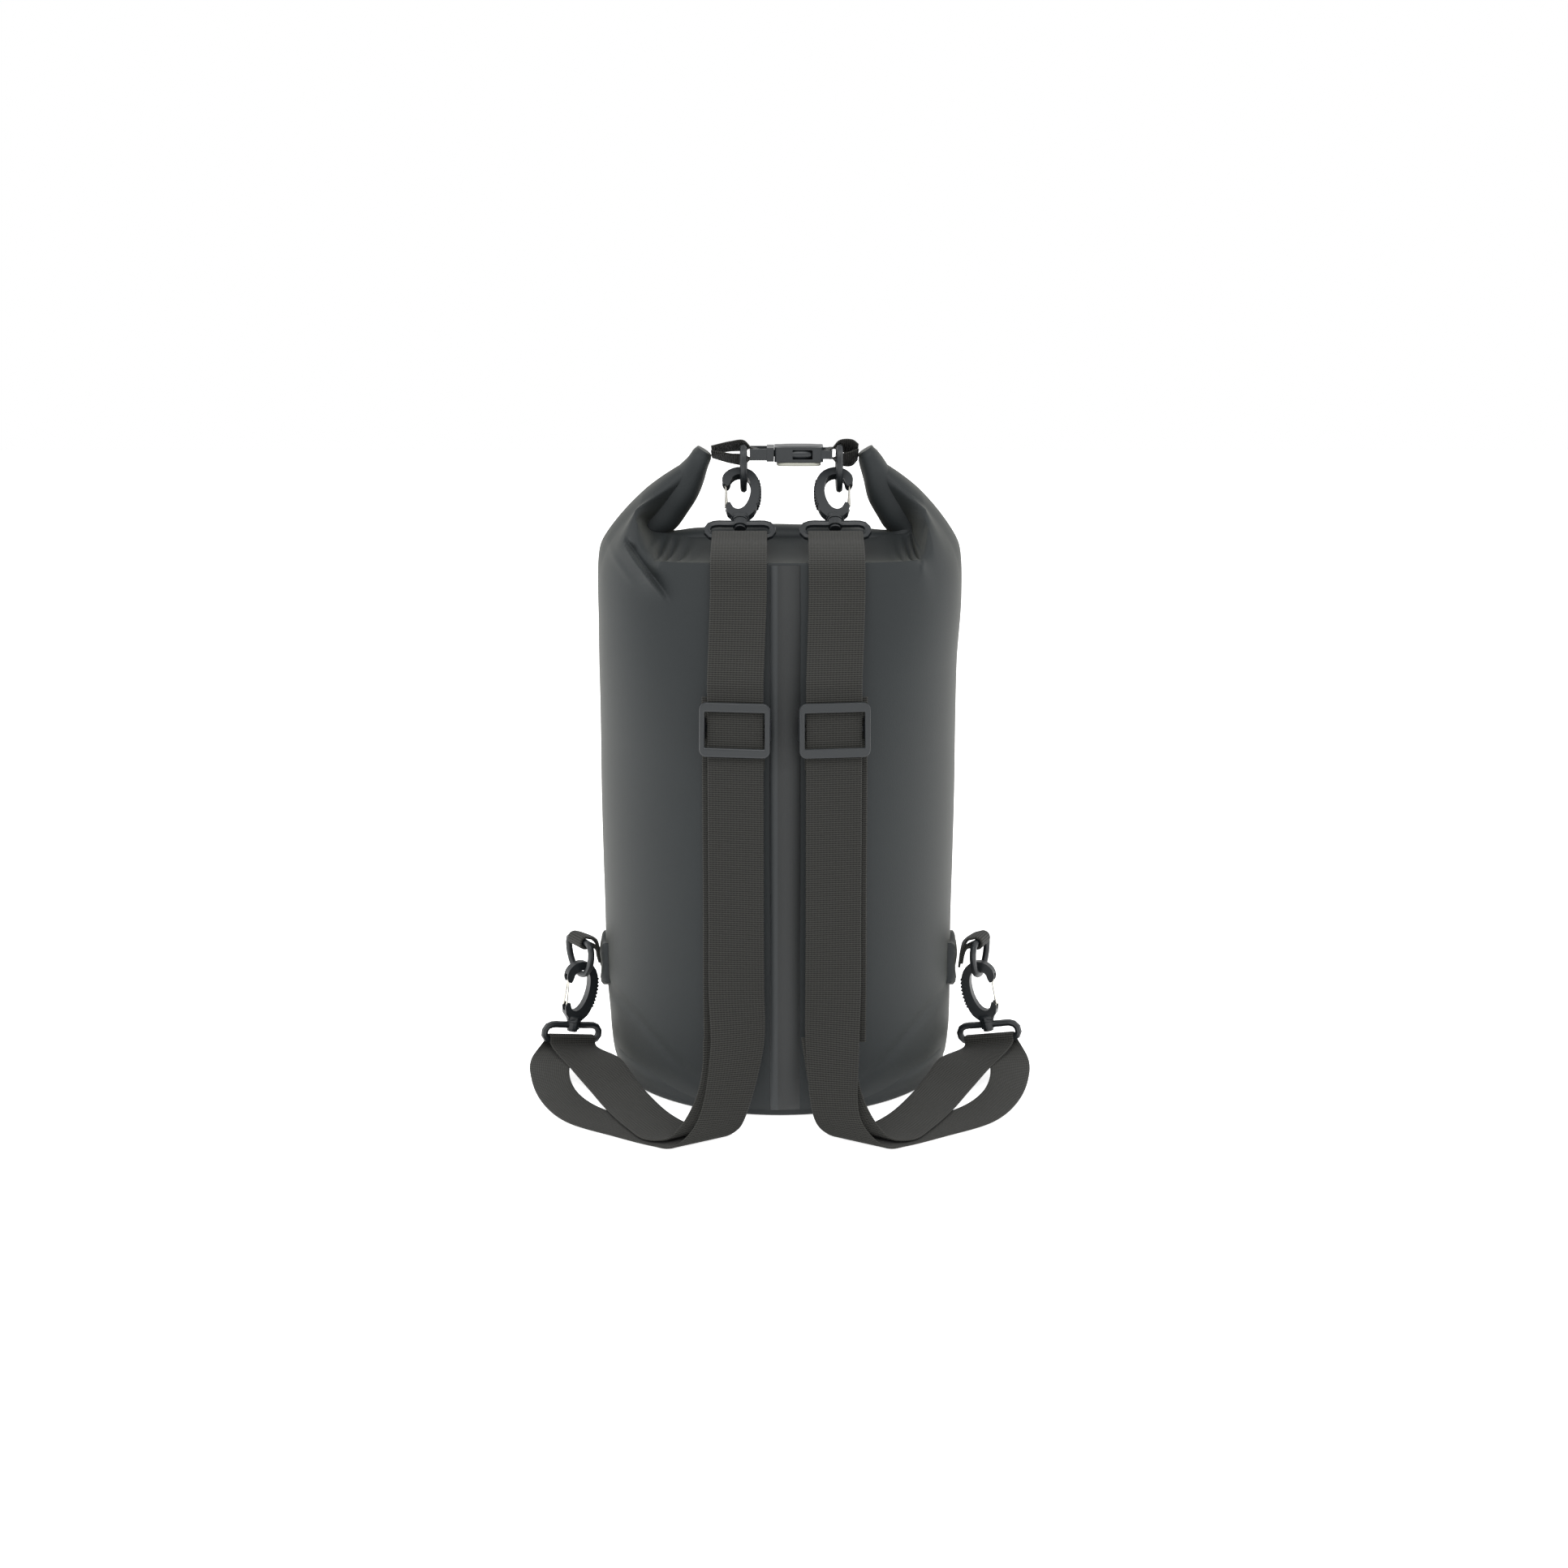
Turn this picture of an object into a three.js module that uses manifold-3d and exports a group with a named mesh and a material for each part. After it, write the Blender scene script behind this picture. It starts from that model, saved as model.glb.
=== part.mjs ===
// Roll-top dry bag for rope, with two removable shoulder straps.
// Millimetres, +Z up. The bag stands on its round base; the strap side faces -Y.
// The origin is the centre of the flat underside of the base.
import * as THREE from 'three';
import { mergeVertices } from 'three/addons/utils/BufferGeometryUtils.js';
import Module from 'manifold-3d';

const wasm = await Module();
wasm.setup();

// ---- driving dimensions -------------------------------------------------
const GAP = 0.3; // clearance between touching pieces
const BASE_RADIUS = 126;
const BASE_THICKNESS = 2;
const BASE_RIM_HEIGHT = 20;
const WALL = 2.4; // stand-in thickness of the coated fabric
const BODY_HALF_WIDTH = 128.5;
const FOLD_HEIGHT = 382; // crisp fold along the top of the front wall
const FOLD_HALF_DEPTH = 95;
const STRAP_WIDTH = 38;
const CLOSURE_WEBBING_WIDTH = 25;
const WEBBING = 1.4; // thickness of every webbing
const HANDLE_HEIGHT = 450.5; // axis of the buckle and of its webbing bars
const ROD = 2.6; // radius of the moulded rings and loops

// buckle, along X, from the plug's shoulder to the socket's far end
const SOCKET_START = -3.8;
const SOCKET_END = 30.5;
const BUCKLE_HALF_WIDTH = 16.5;
const BUCKLE_HALF_HEIGHT = 5.2;
const WINDOW_START = 9; // the side windows that the thumb buttons fill
const WINDOW_END = 23;

// rings, hooks and swivel loops
const RING_HALF_WIDTH = 17.5;
const RING_DEPTH = 26;
const RING_TILT = THREE.MathUtils.degToRad(20); // the straps pull the top rings forward
const HOOK_THICKNESS = 6;
const HOOK_REACH = 39.2; // swivel to the middle of the ring's rod in the hook's eye
const GATE_PIVOT = [-9.2, 14];
const LOOP_HALF_WIDTH = 22.9;
const LOOP_HALF_HEIGHT = 5.9;
const TOP_LOOP = { y: -41.2, z: 404.8, lean: THREE.MathUtils.degToRad(45) };
const LOWER_LEAN = THREE.MathUtils.degToRad(12); // the lower hooks lean in towards the bag

// straps, sliders and side anchors
const STIFFENER_WIDTH = 20;
const LOOP_WRAP = ROD + 2.6 * GAP + WEBBING / 2; // webbing's turn round a loop's bar
const STRAP_TILT = THREE.MathUtils.degToRad(8); // straps lie on the round wall
const STRAIGHT_TOP = { y: -127, z: 302 };
const STRAIGHT_END = { y: -135.5, z: 150 };
const SLIDER_Z = 277;
const SLIDER = { width: 48, height: 37, sideBar: 3.6, endBar: 6.4, depth: 3.4, middle: 2.4 };
const ANCHOR = { y: -12, z: 75, height: 46, width: 40 };
const ANCHOR_RING_Z = 96;

const SIDES = [
  {
    name: 'left', hand: -1, top_x: -27.5, low_x: -29.5, ear_shift: 0, ring_x: -25.5,
    buckle_bar_x: -17.5, side_turn: 33, anchor_x: -147.5, tip_x: -54,
  },
  {
    name: 'right', hand: 1, top_x: 38.5, low_x: 36.5, ear_shift: 7, ring_x: 42,
    buckle_bar_x: 34.6, side_turn: -22, anchor_x: 147.5, tip_x: 61,
  },
];

// ---- colours ------------------------------------------------------------
const FINISH = {
  fabric: { color: 0x42484b, roughness: 0.62, metalness: 0 },
  tape: { color: 0x383b3d, roughness: 0.55, metalness: 0 },
  webbing: { color: 0x3a3936, roughness: 0.85, metalness: 0 },
  plastic: { color: 0x24272a, roughness: 0.42, metalness: 0 },
  pale_plastic: { color: 0x98988e, roughness: 0.5, metalness: 0 },
  stiffener: { color: 0x2b2d2f, roughness: 0.5, metalness: 0 },
  steel: { color: 0xc4c1b8, roughness: 0.25, metalness: 1 },
};

const bag = new THREE.Group();

function add(parent, name, geometry, finish) {
  const mesh = new THREE.Mesh(geometry, new THREE.MeshStandardMaterial(FINISH[finish]));
  mesh.name = name;
  parent.add(mesh);
  return mesh;
}

// ---- solids -------------------------------------------------------------
function toManifold(geometry) {
  const plain = geometry.index ? geometry.toNonIndexed() : geometry.clone();
  plain.deleteAttribute('normal');
  plain.deleteAttribute('uv');
  const merged = mergeVertices(plain, 1e-4);
  return new wasm.Manifold(new wasm.Mesh({
    numProp: 3,
    vertProperties: new Float32Array(merged.attributes.position.array),
    triVerts: new Uint32Array(merged.index.array),
  }));
}

function fromManifold(solid) {
  const mesh = solid.getMesh();
  const geometry = new THREE.BufferGeometry();
  const points = new Float32Array(mesh.numVert * 3);
  for (let i = 0; i < mesh.numVert; i += 1) {
    points.set(mesh.vertProperties.subarray(i * mesh.numProp, i * mesh.numProp + 3), i * 3);
  }
  geometry.setAttribute('position', new THREE.BufferAttribute(points, 3));
  geometry.setIndex(Array.from(mesh.triVerts));
  return geometry;
}

function join(...geometries) {
  return fromManifold(geometries.map(toManifold).reduce((sum, next) => sum.add(next)));
}

function cut(geometry, ...tools) {
  const whole = toManifold(geometry);
  return fromManifold(tools.map(toManifold).reduce((rest, tool) => rest.subtract(tool), whole));
}

function keepInside(geometry, tool) {
  return fromManifold(toManifold(geometry).intersect(toManifold(tool)));
}

function box(x, y, z, cx = 0, cy = 0, cz = 0) {
  return new THREE.BoxGeometry(x, y, z).translate(cx, cy, cz);
}

// A round bar between two points on one axis ('x', 'y' or 'z').
function bar(radius, length, axis, cx = 0, cy = 0, cz = 0, sides = 14) {
  const geometry = new THREE.CylinderGeometry(radius, radius, length, sides);
  if (axis === 'x') geometry.rotateZ(Math.PI / 2);
  if (axis === 'z') geometry.rotateX(Math.PI / 2);
  return geometry.translate(cx, cy, cz);
}

// Joins a row of equal rings of points into one closed solid. When closed is
// true the last ring meets the first; otherwise both ends are capped.
function loft(rings, closed = false) {
  const count = rings[0].length;
  const points = rings.flat().flatMap((p) => [p.x, p.y, p.z]);
  const faces = [];
  const last = closed ? rings.length : rings.length - 1;
  for (let i = 0; i < last; i += 1) {
    const here = i * count;
    const next = ((i + 1) % rings.length) * count;
    for (let j = 0; j < count; j += 1) {
      const k = (j + 1) % count;
      faces.push(here + j, here + k, next + k, here + j, next + k, next + j);
    }
  }
  if (!closed) {
    const end = (rings.length - 1) * count;
    for (let j = 1; j < count - 1; j += 1) {
      faces.push(0, j + 1, j, end, end + j, end + j + 1);
    }
  }
  const geometry = new THREE.BufferGeometry();
  geometry.setAttribute('position', new THREE.BufferAttribute(new Float32Array(points), 3));
  geometry.setIndex(faces);
  return facingOut(geometry);
}

// Turns the faces round when the enclosed volume comes out negative.
function facingOut(geometry) {
  const p = geometry.attributes.position;
  const index = geometry.index.array;
  const corner = [new THREE.Vector3(), new THREE.Vector3(), new THREE.Vector3()];
  let volume = 0;
  for (let i = 0; i < index.length; i += 3) {
    corner.forEach((v, k) => v.fromBufferAttribute(p, index[i + k]));
    volume += corner[0].dot(corner[1].clone().cross(corner[2]));
  }
  if (volume < 0) {
    for (let i = 0; i < index.length; i += 3) {
      [index[i + 1], index[i + 2]] = [index[i + 2], index[i + 1]];
    }
  }
  return geometry;
}

// A flat band between two edge curves, each given by a few points.
function band(leftPoints, rightPoints, thickness, steps) {
  const left = new THREE.CatmullRomCurve3(leftPoints, false, 'centripetal');
  const right = new THREE.CatmullRomCurve3(rightPoints, false, 'centripetal');
  const rows = [];
  for (let i = 0; i <= steps; i += 1) {
    rows.push([left.getPoint(i / steps), right.getPoint(i / steps)]);
  }
  const middle = rows.map(([a, b]) => a.clone().add(b).multiplyScalar(0.5));
  const rings = rows.map(([a, b], i) => {
    const along = middle[Math.min(i + 1, steps)].clone().sub(middle[Math.max(i - 1, 0)]);
    const across = b.clone().sub(a);
    const half = along.cross(across).normalize().multiplyScalar(thickness / 2);
    return [a.clone().add(half), b.clone().add(half), b.clone().sub(half), a.clone().sub(half)];
  });
  return loft(rings);
}

// A band of constant width whose middle line is in the X-Z plane.
function flatBand(points, width, thickness, steps) {
  const edge = (y) => points.map(([x, z]) => new THREE.Vector3(x, y, z));
  return band(edge(-width / 2), edge(width / 2), thickness, steps);
}

// A round rod along a closed or open line of points.
function rod(points, radius, closed, steps, sides = 7) {
  const path = new THREE.CatmullRomCurve3(points, closed, 'centripetal');
  const section = new THREE.Shape();
  section.absarc(0, 0, radius, 0, Math.PI * 2);
  const geometry = new THREE.ExtrudeGeometry(section, {
    steps, curveSegments: sides / 2, bevelEnabled: false, extrudePath: path,
  });
  if (!closed) return geometry;
  // a closed rod is swept as one ring of sections, so it has no end faces
  const rings = [];
  const frames = path.computeFrenetFrames(steps, true);
  for (let i = 0; i < steps; i += 1) {
    const centre = path.getPointAt(i / steps);
    const ring = [];
    for (let j = 0; j < sides; j += 1) {
      const a = (j / sides) * Math.PI * 2;
      ring.push(centre.clone()
        .addScaledVector(frames.normals[i], radius * Math.cos(a))
        .addScaledVector(frames.binormals[i], radius * Math.sin(a)));
    }
    rings.push(ring);
  }
  return loft(rings, true);
}

// ---- bag body -----------------------------------------------------------
// One level outline of the bag: a superellipse, round at the base and nearer
// to a rectangle at the top fold.
function outline(z, halfWidth, halfDepth, squareness, segments = 36) {
  const ring = [];
  for (let i = 0; i < segments; i += 1) {
    const a = (i / segments) * Math.PI * 2;
    const c = Math.cos(a);
    const s = Math.sin(a);
    ring.push(new THREE.Vector3(
      halfWidth * Math.sign(c) * Math.abs(c) ** (2 / squareness),
      halfDepth * Math.sign(s) * Math.abs(s) ** (2 / squareness),
      z,
    ));
  }
  return ring;
}

function bagTube() {
  const outside = [
    [BASE_THICKNESS + GAP, BASE_RADIUS - 2, BASE_RADIUS - 2, 2],
    [BASE_RIM_HEIGHT + 2, BASE_RADIUS - 2, BASE_RADIUS - 2, 2],
    [BASE_RIM_HEIGHT + 8, BASE_RADIUS + 0.5, BASE_RADIUS, 2],
    [150, BODY_HALF_WIDTH, 125.5, 2.05],
    [250, BODY_HALF_WIDTH, 122, 2.2],
    [310, BODY_HALF_WIDTH, 114.5, 2.5],
    [350, BODY_HALF_WIDTH + 0.8, 105, 2.8],
    [FOLD_HEIGHT - 14, BODY_HALF_WIDTH + 1, 99.5, 3],
    [FOLD_HEIGHT, BODY_HALF_WIDTH - 1, FOLD_HALF_DEPTH, 3],
    [FOLD_HEIGHT + 3.5, BODY_HALF_WIDTH - 4, FOLD_HALF_DEPTH - 4, 3],
    [FOLD_HEIGHT + 2.5, BODY_HALF_WIDTH - 10, 55, 2.6],
    [FOLD_HEIGHT + 1.5, BODY_HALF_WIDTH - 18, 10, 2.4],
  ];
  const top = outside[outside.length - 1];
  const inside = outside.map(([z, a, b, n], i) => {
    if (i < outside.length - 3) return [z, a - WALL, b - WALL, n];
    return [z - WALL, a - 2 * WALL, Math.max(b - WALL, 6), n];
  });
  inside[0][0] = outside[0][0];
  inside[inside.length - 1] = [top[0] - WALL, top[1] - 2, top[2] - 2, top[3]];
  const rows = [...outside, ...inside.reverse()];
  return loft(rows.map((row) => outline(...row)), true);
}

function basePanel() {
  const profile = [
    [0, 0], [BASE_RADIUS - 1.5, 0], [BASE_RADIUS, 1.5], [BASE_RADIUS, BASE_RIM_HEIGHT],
    [BASE_RADIUS - 2 + GAP, BASE_RIM_HEIGHT], [BASE_RADIUS - 2 + GAP, BASE_THICKNESS],
    [0, BASE_THICKNESS],
  ].map(([r, z]) => new THREE.Vector2(r, z));
  return new THREE.LatheGeometry(profile, 36).rotateX(Math.PI / 2);
}

function seamTape() {
  // follows the front wall at X = 4 from the top fold to the base rim
  const middle = [
    [30, 126], [90, 126.2], [150, 125.5], [250, 122],
    [310, 114.5], [350, 105], [368, 99.5], [380, 95.6],
  ];
  const edge = (x) => middle.map(([z, depth]) => new THREE.Vector3(x, -(depth + 0.9), z));
  return band(edge(-6), edge(14), 0.8, 24);
}

// ---- rolled closure -----------------------------------------------------
// Middle line of the rolled mouth, from one ear tip to the other.
function rollLine() {
  const half = (side) => [
    [side.tip_x - side.hand * 4.8, 459],
    [side.tip_x + side.hand * 3, 447],
    [side.hand * (66 + side.ear_shift * 0.5), 434],
    [side.hand * (79 + side.ear_shift * 0.3), 419],
    [side.hand * 88, 404],
    [side.hand * 78, 396.5],
  ];
  return [...half(SIDES[0]), [-40, 395.5], [0, 395.5], [40, 395.5], ...half(SIDES[1]).reverse()];
}

function ellipseRing(centre, along, halfPlane, halfDepth, segments = 12) {
  const up = new THREE.Vector3(0, 1, 0);
  const inPlane = up.clone().cross(along).normalize();
  const ring = [];
  for (let i = 0; i < segments; i += 1) {
    const a = (i / segments) * Math.PI * 2;
    ring.push(centre.clone()
      .addScaledVector(inPlane, halfPlane * Math.cos(a))
      .addScaledVector(up, halfDepth * Math.sin(a)));
  }
  return ring;
}

function ear(side) {
  const shift = side.ear_shift;
  const rows = [
    [112, 382, 18], [97 + shift * 0.2, 402, 17.5], [79 + shift * 0.3, 420, 14],
    [66 + shift * 0.5, 435, 11], [56.5 + shift * 0.9, 447.5, 7], [54 + shift, 452.5, 5.8],
  ];
  const centres = rows.map(([x, z]) => new THREE.Vector3(side.hand * x, 0, z));
  return loft(rows.map(([, , half], i) => {
    const next = centres[Math.min(i + 1, rows.length - 1)];
    const along = next.clone().sub(centres[Math.max(i - 1, 0)]);
    return ellipseRing(centres[i], along, half, 15.5);
  }));
}

function closureRoll() {
  const along = new THREE.Vector3(1, 0, 0);
  const sections = [-100, -50, 0, 50, 100].map((x) => (
    ellipseRing(new THREE.Vector3(x, 0, 395), along, 9, 15.5, 16)
  ));
  const whole = join(loft(sections), ear(SIDES[0]), ear(SIDES[1]));
  const above = box(400, 100, 100, 0, 0, FOLD_HEIGHT + 4.4 + 50);
  const pocket = flatBand(rollLine(), STIFFENER_WIDTH + 1.2, 2.6, 44);
  return cut(keepInside(whole, above), pocket);
}

function mouthStiffener() {
  const strip = flatBand(rollLine(), STIFFENER_WIDTH, 1.4, 44);
  return keepInside(strip, box(400, 100, 100, 0, 0, 446 - 50));
}

// ---- buckle -------------------------------------------------------------
function roundedPlate(x0, x1, halfWidth, halfHeight, radius) {
  const shape = new THREE.Shape();
  const w = halfWidth - radius;
  shape.moveTo(x0 + radius, -halfWidth);
  shape.lineTo(x1 - radius, -halfWidth);
  shape.absarc(x1 - radius, -w, radius, -Math.PI / 2, 0);
  shape.absarc(x1 - radius, w, radius, 0, Math.PI / 2);
  shape.absarc(x0 + radius, w, radius, Math.PI / 2, Math.PI);
  shape.absarc(x0 + radius, -w, radius, Math.PI, Math.PI * 1.5);
  const geometry = new THREE.ExtrudeGeometry(shape, {
    depth: 2 * halfHeight, bevelEnabled: false, curveSegments: 3,
  });
  return geometry.translate(0, 0, HANDLE_HEIGHT - halfHeight);
}

function buckleSocket() {
  const body = roundedPlate(SOCKET_START, SOCKET_END, BUCKLE_HALF_WIDTH, BUCKLE_HALF_HEIGHT, 3);
  const cavity = box(27, 28, 6.4, SOCKET_START + 12.5, 0, HANDLE_HEIGHT);
  const span = WINDOW_END - WINDOW_START;
  const middle = WINDOW_START + span / 2;
  const windows = box(span, 2 * BUCKLE_HALF_WIDTH + 4, 6.4, middle, 0, HANDLE_HEIGHT);
  const arms = [-1, 1].map((s) => box(8, 2.6, 6, SOCKET_END + 2.4, s * 14.6, HANDLE_HEIGHT));
  const crossBar = bar(1.7, 29, 'y', SIDES[1].buckle_bar_x, 0, HANDLE_HEIGHT, 10);
  return join(cut(body, cavity, windows), ...arms, crossBar);
}

function socketUnderside() {
  const middle = (SOCKET_END + SOCKET_START) / 2;
  const z = HANDLE_HEIGHT - BUCKLE_HALF_HEIGHT - GAP - 0.8;
  return box(SOCKET_END - SOCKET_START - 3, 26, 1.6, middle, 0, z);
}

function bucklePlug() {
  const start = SIDES[0].buckle_bar_x - 3.5;
  const front = box(5, 2 * BUCKLE_HALF_WIDTH - 1, 9.6, SOCKET_START - GAP - 2.5, 0, HANDLE_HEIGHT);
  const arms = [-1, 1].map((s) => box(
    SOCKET_START - start - 3, 2.6, 8, (start + SOCKET_START - 3) / 2, s * 14.6, HANDLE_HEIGHT,
  ));
  const crossBar = bar(1.7, 29, 'y', SIDES[0].buckle_bar_x, 0, HANDLE_HEIGHT, 10);
  const guide = box(21, 4, 4.5, SOCKET_START + 9, 0, HANDLE_HEIGHT);
  return join(front, ...arms, crossBar, guide);
}

// One springy arm, with the thumb button that fills the socket's side window.
function buckleProng(hand) {
  const shape = new THREE.Shape();
  shape.moveTo(SOCKET_START + GAP, 7);
  shape.lineTo(SOCKET_START + GAP, 10);
  shape.lineTo(WINDOW_START + 0.6, 11.5);
  shape.lineTo(WINDOW_START + 0.6, BUCKLE_HALF_WIDTH - 0.8);
  const middle = (WINDOW_START + WINDOW_END) / 2;
  const edge = BUCKLE_HALF_WIDTH;
  shape.quadraticCurveTo(middle, edge + 1, WINDOW_END - 2.5, edge - 2.5);
  shape.quadraticCurveTo(WINDOW_END - 1, 10, WINDOW_END - 3.4, 8.6);
  shape.lineTo(WINDOW_START, 8.6);
  const geometry = new THREE.ExtrudeGeometry(shape, {
    depth: 5.6, bevelEnabled: false, curveSegments: 4,
  });
  geometry.translate(0, 0, HANDLE_HEIGHT - 2.8);
  if (hand > 0) return geometry;
  return geometry.rotateX(Math.PI).translate(0, 0, 2 * HANDLE_HEIGHT);
}

// The webbing runs from the ear tip over the ring's bar, round the buckle's
// bar and back under the ring's bar to the ear.
function closureWebbing(side) {
  const h = side.hand;
  const x = side.buckle_bar_x;
  const z = HANDLE_HEIGHT;
  const wrap = 1.7 + GAP + WEBBING / 2;
  const ring = side.ring_x;
  const start = side.tip_x - h * 5.8;
  const rows = [
    [start, 453.9, 0.15], [ring + h * 8, 456.2, 0.28], [ring, 455.9, RING_TILT],
    [x + h * 3, z + wrap + 1.1, 0.08], [x, z + wrap, 0],
    [x - h * wrap * 0.72, z + wrap * 0.72, 0], [x - h * wrap, z, 0],
    [x - h * wrap * 0.72, z - wrap * 0.72, 0], [x, z - wrap, 0],
    [x + h * 3, z - wrap - 0.8, 0.08], [ring, 446, RING_TILT],
    [ring + h * 8, 446.6, 0.28], [start, 450.6, 0.15],
  ];
  const edge = (u) => rows.map(([px, pz, tilt]) => (
    new THREE.Vector3(px, u * Math.cos(tilt), pz - u * Math.sin(tilt))
  ));
  return band(edge(-CLOSURE_WEBBING_WIDTH / 2), edge(CLOSURE_WEBBING_WIDTH / 2), WEBBING, 34);
}

// ---- rings, hooks and loops --------------------------------------------
// D-ring in the Y-Z plane: straight bar through the origin, bow downwards.
function dRing() {
  const points = [];
  for (let i = 0; i <= 8; i += 1) {
    const a = Math.PI * (i / 8);
    points.push(new THREE.Vector3(0, RING_HALF_WIDTH * Math.cos(a), -6 - (RING_DEPTH - 6) * Math.sin(a)));
  }
  points.push(new THREE.Vector3(0, -RING_HALF_WIDTH + 1.5, -1.2));
  points.push(new THREE.Vector3(0, -RING_HALF_WIDTH + 4.5, 0));
  points.push(new THREE.Vector3(0, RING_HALF_WIDTH - 4.5, 0));
  points.push(new THREE.Vector3(0, RING_HALF_WIDTH - 1.5, -1.2));
  return rod(points, ROD, true, 24);
}

// Loop of moulded rod with the swivel boss on its upper bar. The origin is
// the middle of the boss and the loop hangs below it.
function swivelLoop() {
  const points = [];
  const r = LOOP_HALF_HEIGHT;
  const w = LOOP_HALF_WIDTH - r;
  for (const end of [1, -1]) {
    for (let i = 0; i <= 4; i += 1) {
      const a = end * (Math.PI / 2) - Math.PI * (i / 4);
      points.push(new THREE.Vector3(end * w + r * Math.cos(a), 0, -r + r * Math.sin(a)));
    }
    points.push(new THREE.Vector3(end * w * 0.6, 0, -r - end * r));
    points.push(new THREE.Vector3(end * w * -0.6, 0, -r - end * r));
  }
  const frame = rod(points, ROD, true, 30);
  const boss = bar(5, 2 * ROD, 'z', 0, 0, 0, 12);
  const stemHole = bar(2.8, 4 * ROD, 'z', 0, 0, 0, 12);
  return cut(join(frame, boss), stemHole);
}

// Hook in the X-Z plane: spine on +X, nose and gate on -X. The stem turns in
// the loop's boss and has a head below it.
function snapHook() {
  const outer = [
    [4.8, 4.2], [9.6, 9], [12.8, 18], [13.8, 28], [12.6, 38], [8, 45.5],
    [0.5, 49], [-6.5, 47.6], [-11.6, 43], [-13, 37.4], [-11.4, 33.4], [-8.8, 32.2],
  ];
  const inner = [
    [-7.4, 34.6], [-6.6, 38.6], [-3, 42], [1.5, 42.2], [5.6, 38.6], [7.2, 31],
    [6.4, 22], [3.4, 14.6], [-0.6, 11.4], [-4.6, 12.6], [-7, 17.4],
  ];
  const shape = new THREE.Shape();
  shape.moveTo(-4.8, 4.2);
  shape.lineTo(4.8, 4.2);
  shape.splineThru(outer.slice(1).map(([x, z]) => new THREE.Vector2(x, z)));
  shape.splineThru(inner.map(([x, z]) => new THREE.Vector2(x, z)));
  shape.quadraticCurveTo(-9.4, 18.6, -10.4, 14);
  shape.quadraticCurveTo(-10.2, 8.4, -4.8, 4.2);
  const body = new THREE.ExtrudeGeometry(shape, {
    depth: HOOK_THICKNESS, bevelEnabled: false, curveSegments: 2,
  });
  body.rotateX(Math.PI / 2).translate(0, HOOK_THICKNESS / 2, 0);
  const collar = bar(5.4, 3.4, 'z', 0, 0, ROD + GAP + 1.7, 12);
  const stem = bar(2.4, 8, 'z', 0, 0, 0.6, 12);
  const head = bar(3.9, 1.6, 'z', 0, 0, -ROD - GAP - 0.8, 12);
  // the gate's groove in the nose and in the horn
  const groove = box(7.8, 3.4, 27.5, -10.3, 0, 25);
  return cut(join(body, collar, stem, head), groove);
}

// Bent wire gate: two legs from the horn, joined in the nose.
function wireGate() {
  const [x, z] = GATE_PIVOT;
  const points = [
    [x, -0.95, z], [x - 0.3, -0.95, z + 7], [x - 0.7, -0.95, z + 19.5],
    [x - 0.8, -0.55, z + 20.6], [x - 0.8, 0.55, z + 20.6], [x - 0.7, 0.95, z + 19.5],
    [x - 0.1, 0.95, z + 7], [x + 0.2, 0.95, z],
  ].map((p) => new THREE.Vector3(...p));
  return rod(points, 0.6, false, 12, 6);
}

function hookSet(parent, prefix, side, flip) {
  const turned = new THREE.Group();
  turned.rotation.z = flip ? Math.PI : 0;
  parent.add(turned);
  add(turned, `${prefix}_hook_${side.name}`, snapHook(), 'plastic');
  add(turned, `${prefix}_gate_${side.name}`, wireGate(), 'steel');
  add(parent, `${prefix}_swivel_loop_${side.name}`, swivelLoop(), 'plastic');
}

// ---- straps -------------------------------------------------------------
function onStraight(z) {
  const t = (STRAIGHT_TOP.z - z) / (STRAIGHT_TOP.z - STRAIGHT_END.z);
  return THREE.MathUtils.lerp(STRAIGHT_TOP.y, STRAIGHT_END.y, t);
}

// A point across the strap: u is -19..19 mm from its middle line, outwards.
function across(side, x, y, z, turn, u) {
  return new THREE.Vector3(x + side.hand * u * Math.cos(turn), y + u * Math.sin(turn), z);
}

function strapEdges(side, rows) {
  const half = STRAP_WIDTH / 2;
  return [half, -half].map((u) => rows.map(([x, y, z, turn]) => across(side, x, y, z, turn, u)));
}

// Middle of the lower bar of the top swivel loop.
function topBar() {
  const drop = 2 * LOOP_HALF_HEIGHT;
  return {
    y: TOP_LOOP.y - drop * Math.sin(TOP_LOOP.lean),
    z: TOP_LOOP.z - drop * Math.cos(TOP_LOOP.lean),
  };
}

// Upper stretch: the sewn end wraps the top loop's bar, then the webbing
// drops over the fold and runs down the front wall to the turn on the floor.
function upperRows(side) {
  const b = topBar();
  const r = LOOP_WRAP;
  const x = side.top_x;
  const low = side.low_x;
  return [
    [x, b.y - 30, b.z - 6.2, 0], [x, b.y - 16, b.z - 4.4, 0], [x, b.y - 3, b.z - r - 0.4, 0],
    [x, b.y + r * 0.6, b.z - r * 0.8, 0], [x, b.y + r, b.z, 0], [x, b.y + r * 0.6, b.z + r * 0.8, 0],
    [x, b.y - 3, b.z + r - 0.1, 0], [x, b.y - 18, b.z + 0.4, 0], [x, b.y - 34, b.z - 2.6, 0],
    [x, -100, 384, 0.02], [x, -106.5, 366, 0.06], [(x + low) / 2, -119, 328, STRAP_TILT * 0.8],
    ...[0, 0.07, 0.2, 0.4, 0.6, 0.8, 1].map((t) => {
      const z = THREE.MathUtils.lerp(STRAIGHT_TOP.z, STRAIGHT_END.z, t);
      return [low, onStraight(z), z, STRAP_TILT];
    }),
    [low, -138.5, 100, 0], [low - side.hand * 0.5, -144, 58, -0.3],
  ];
}

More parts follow.
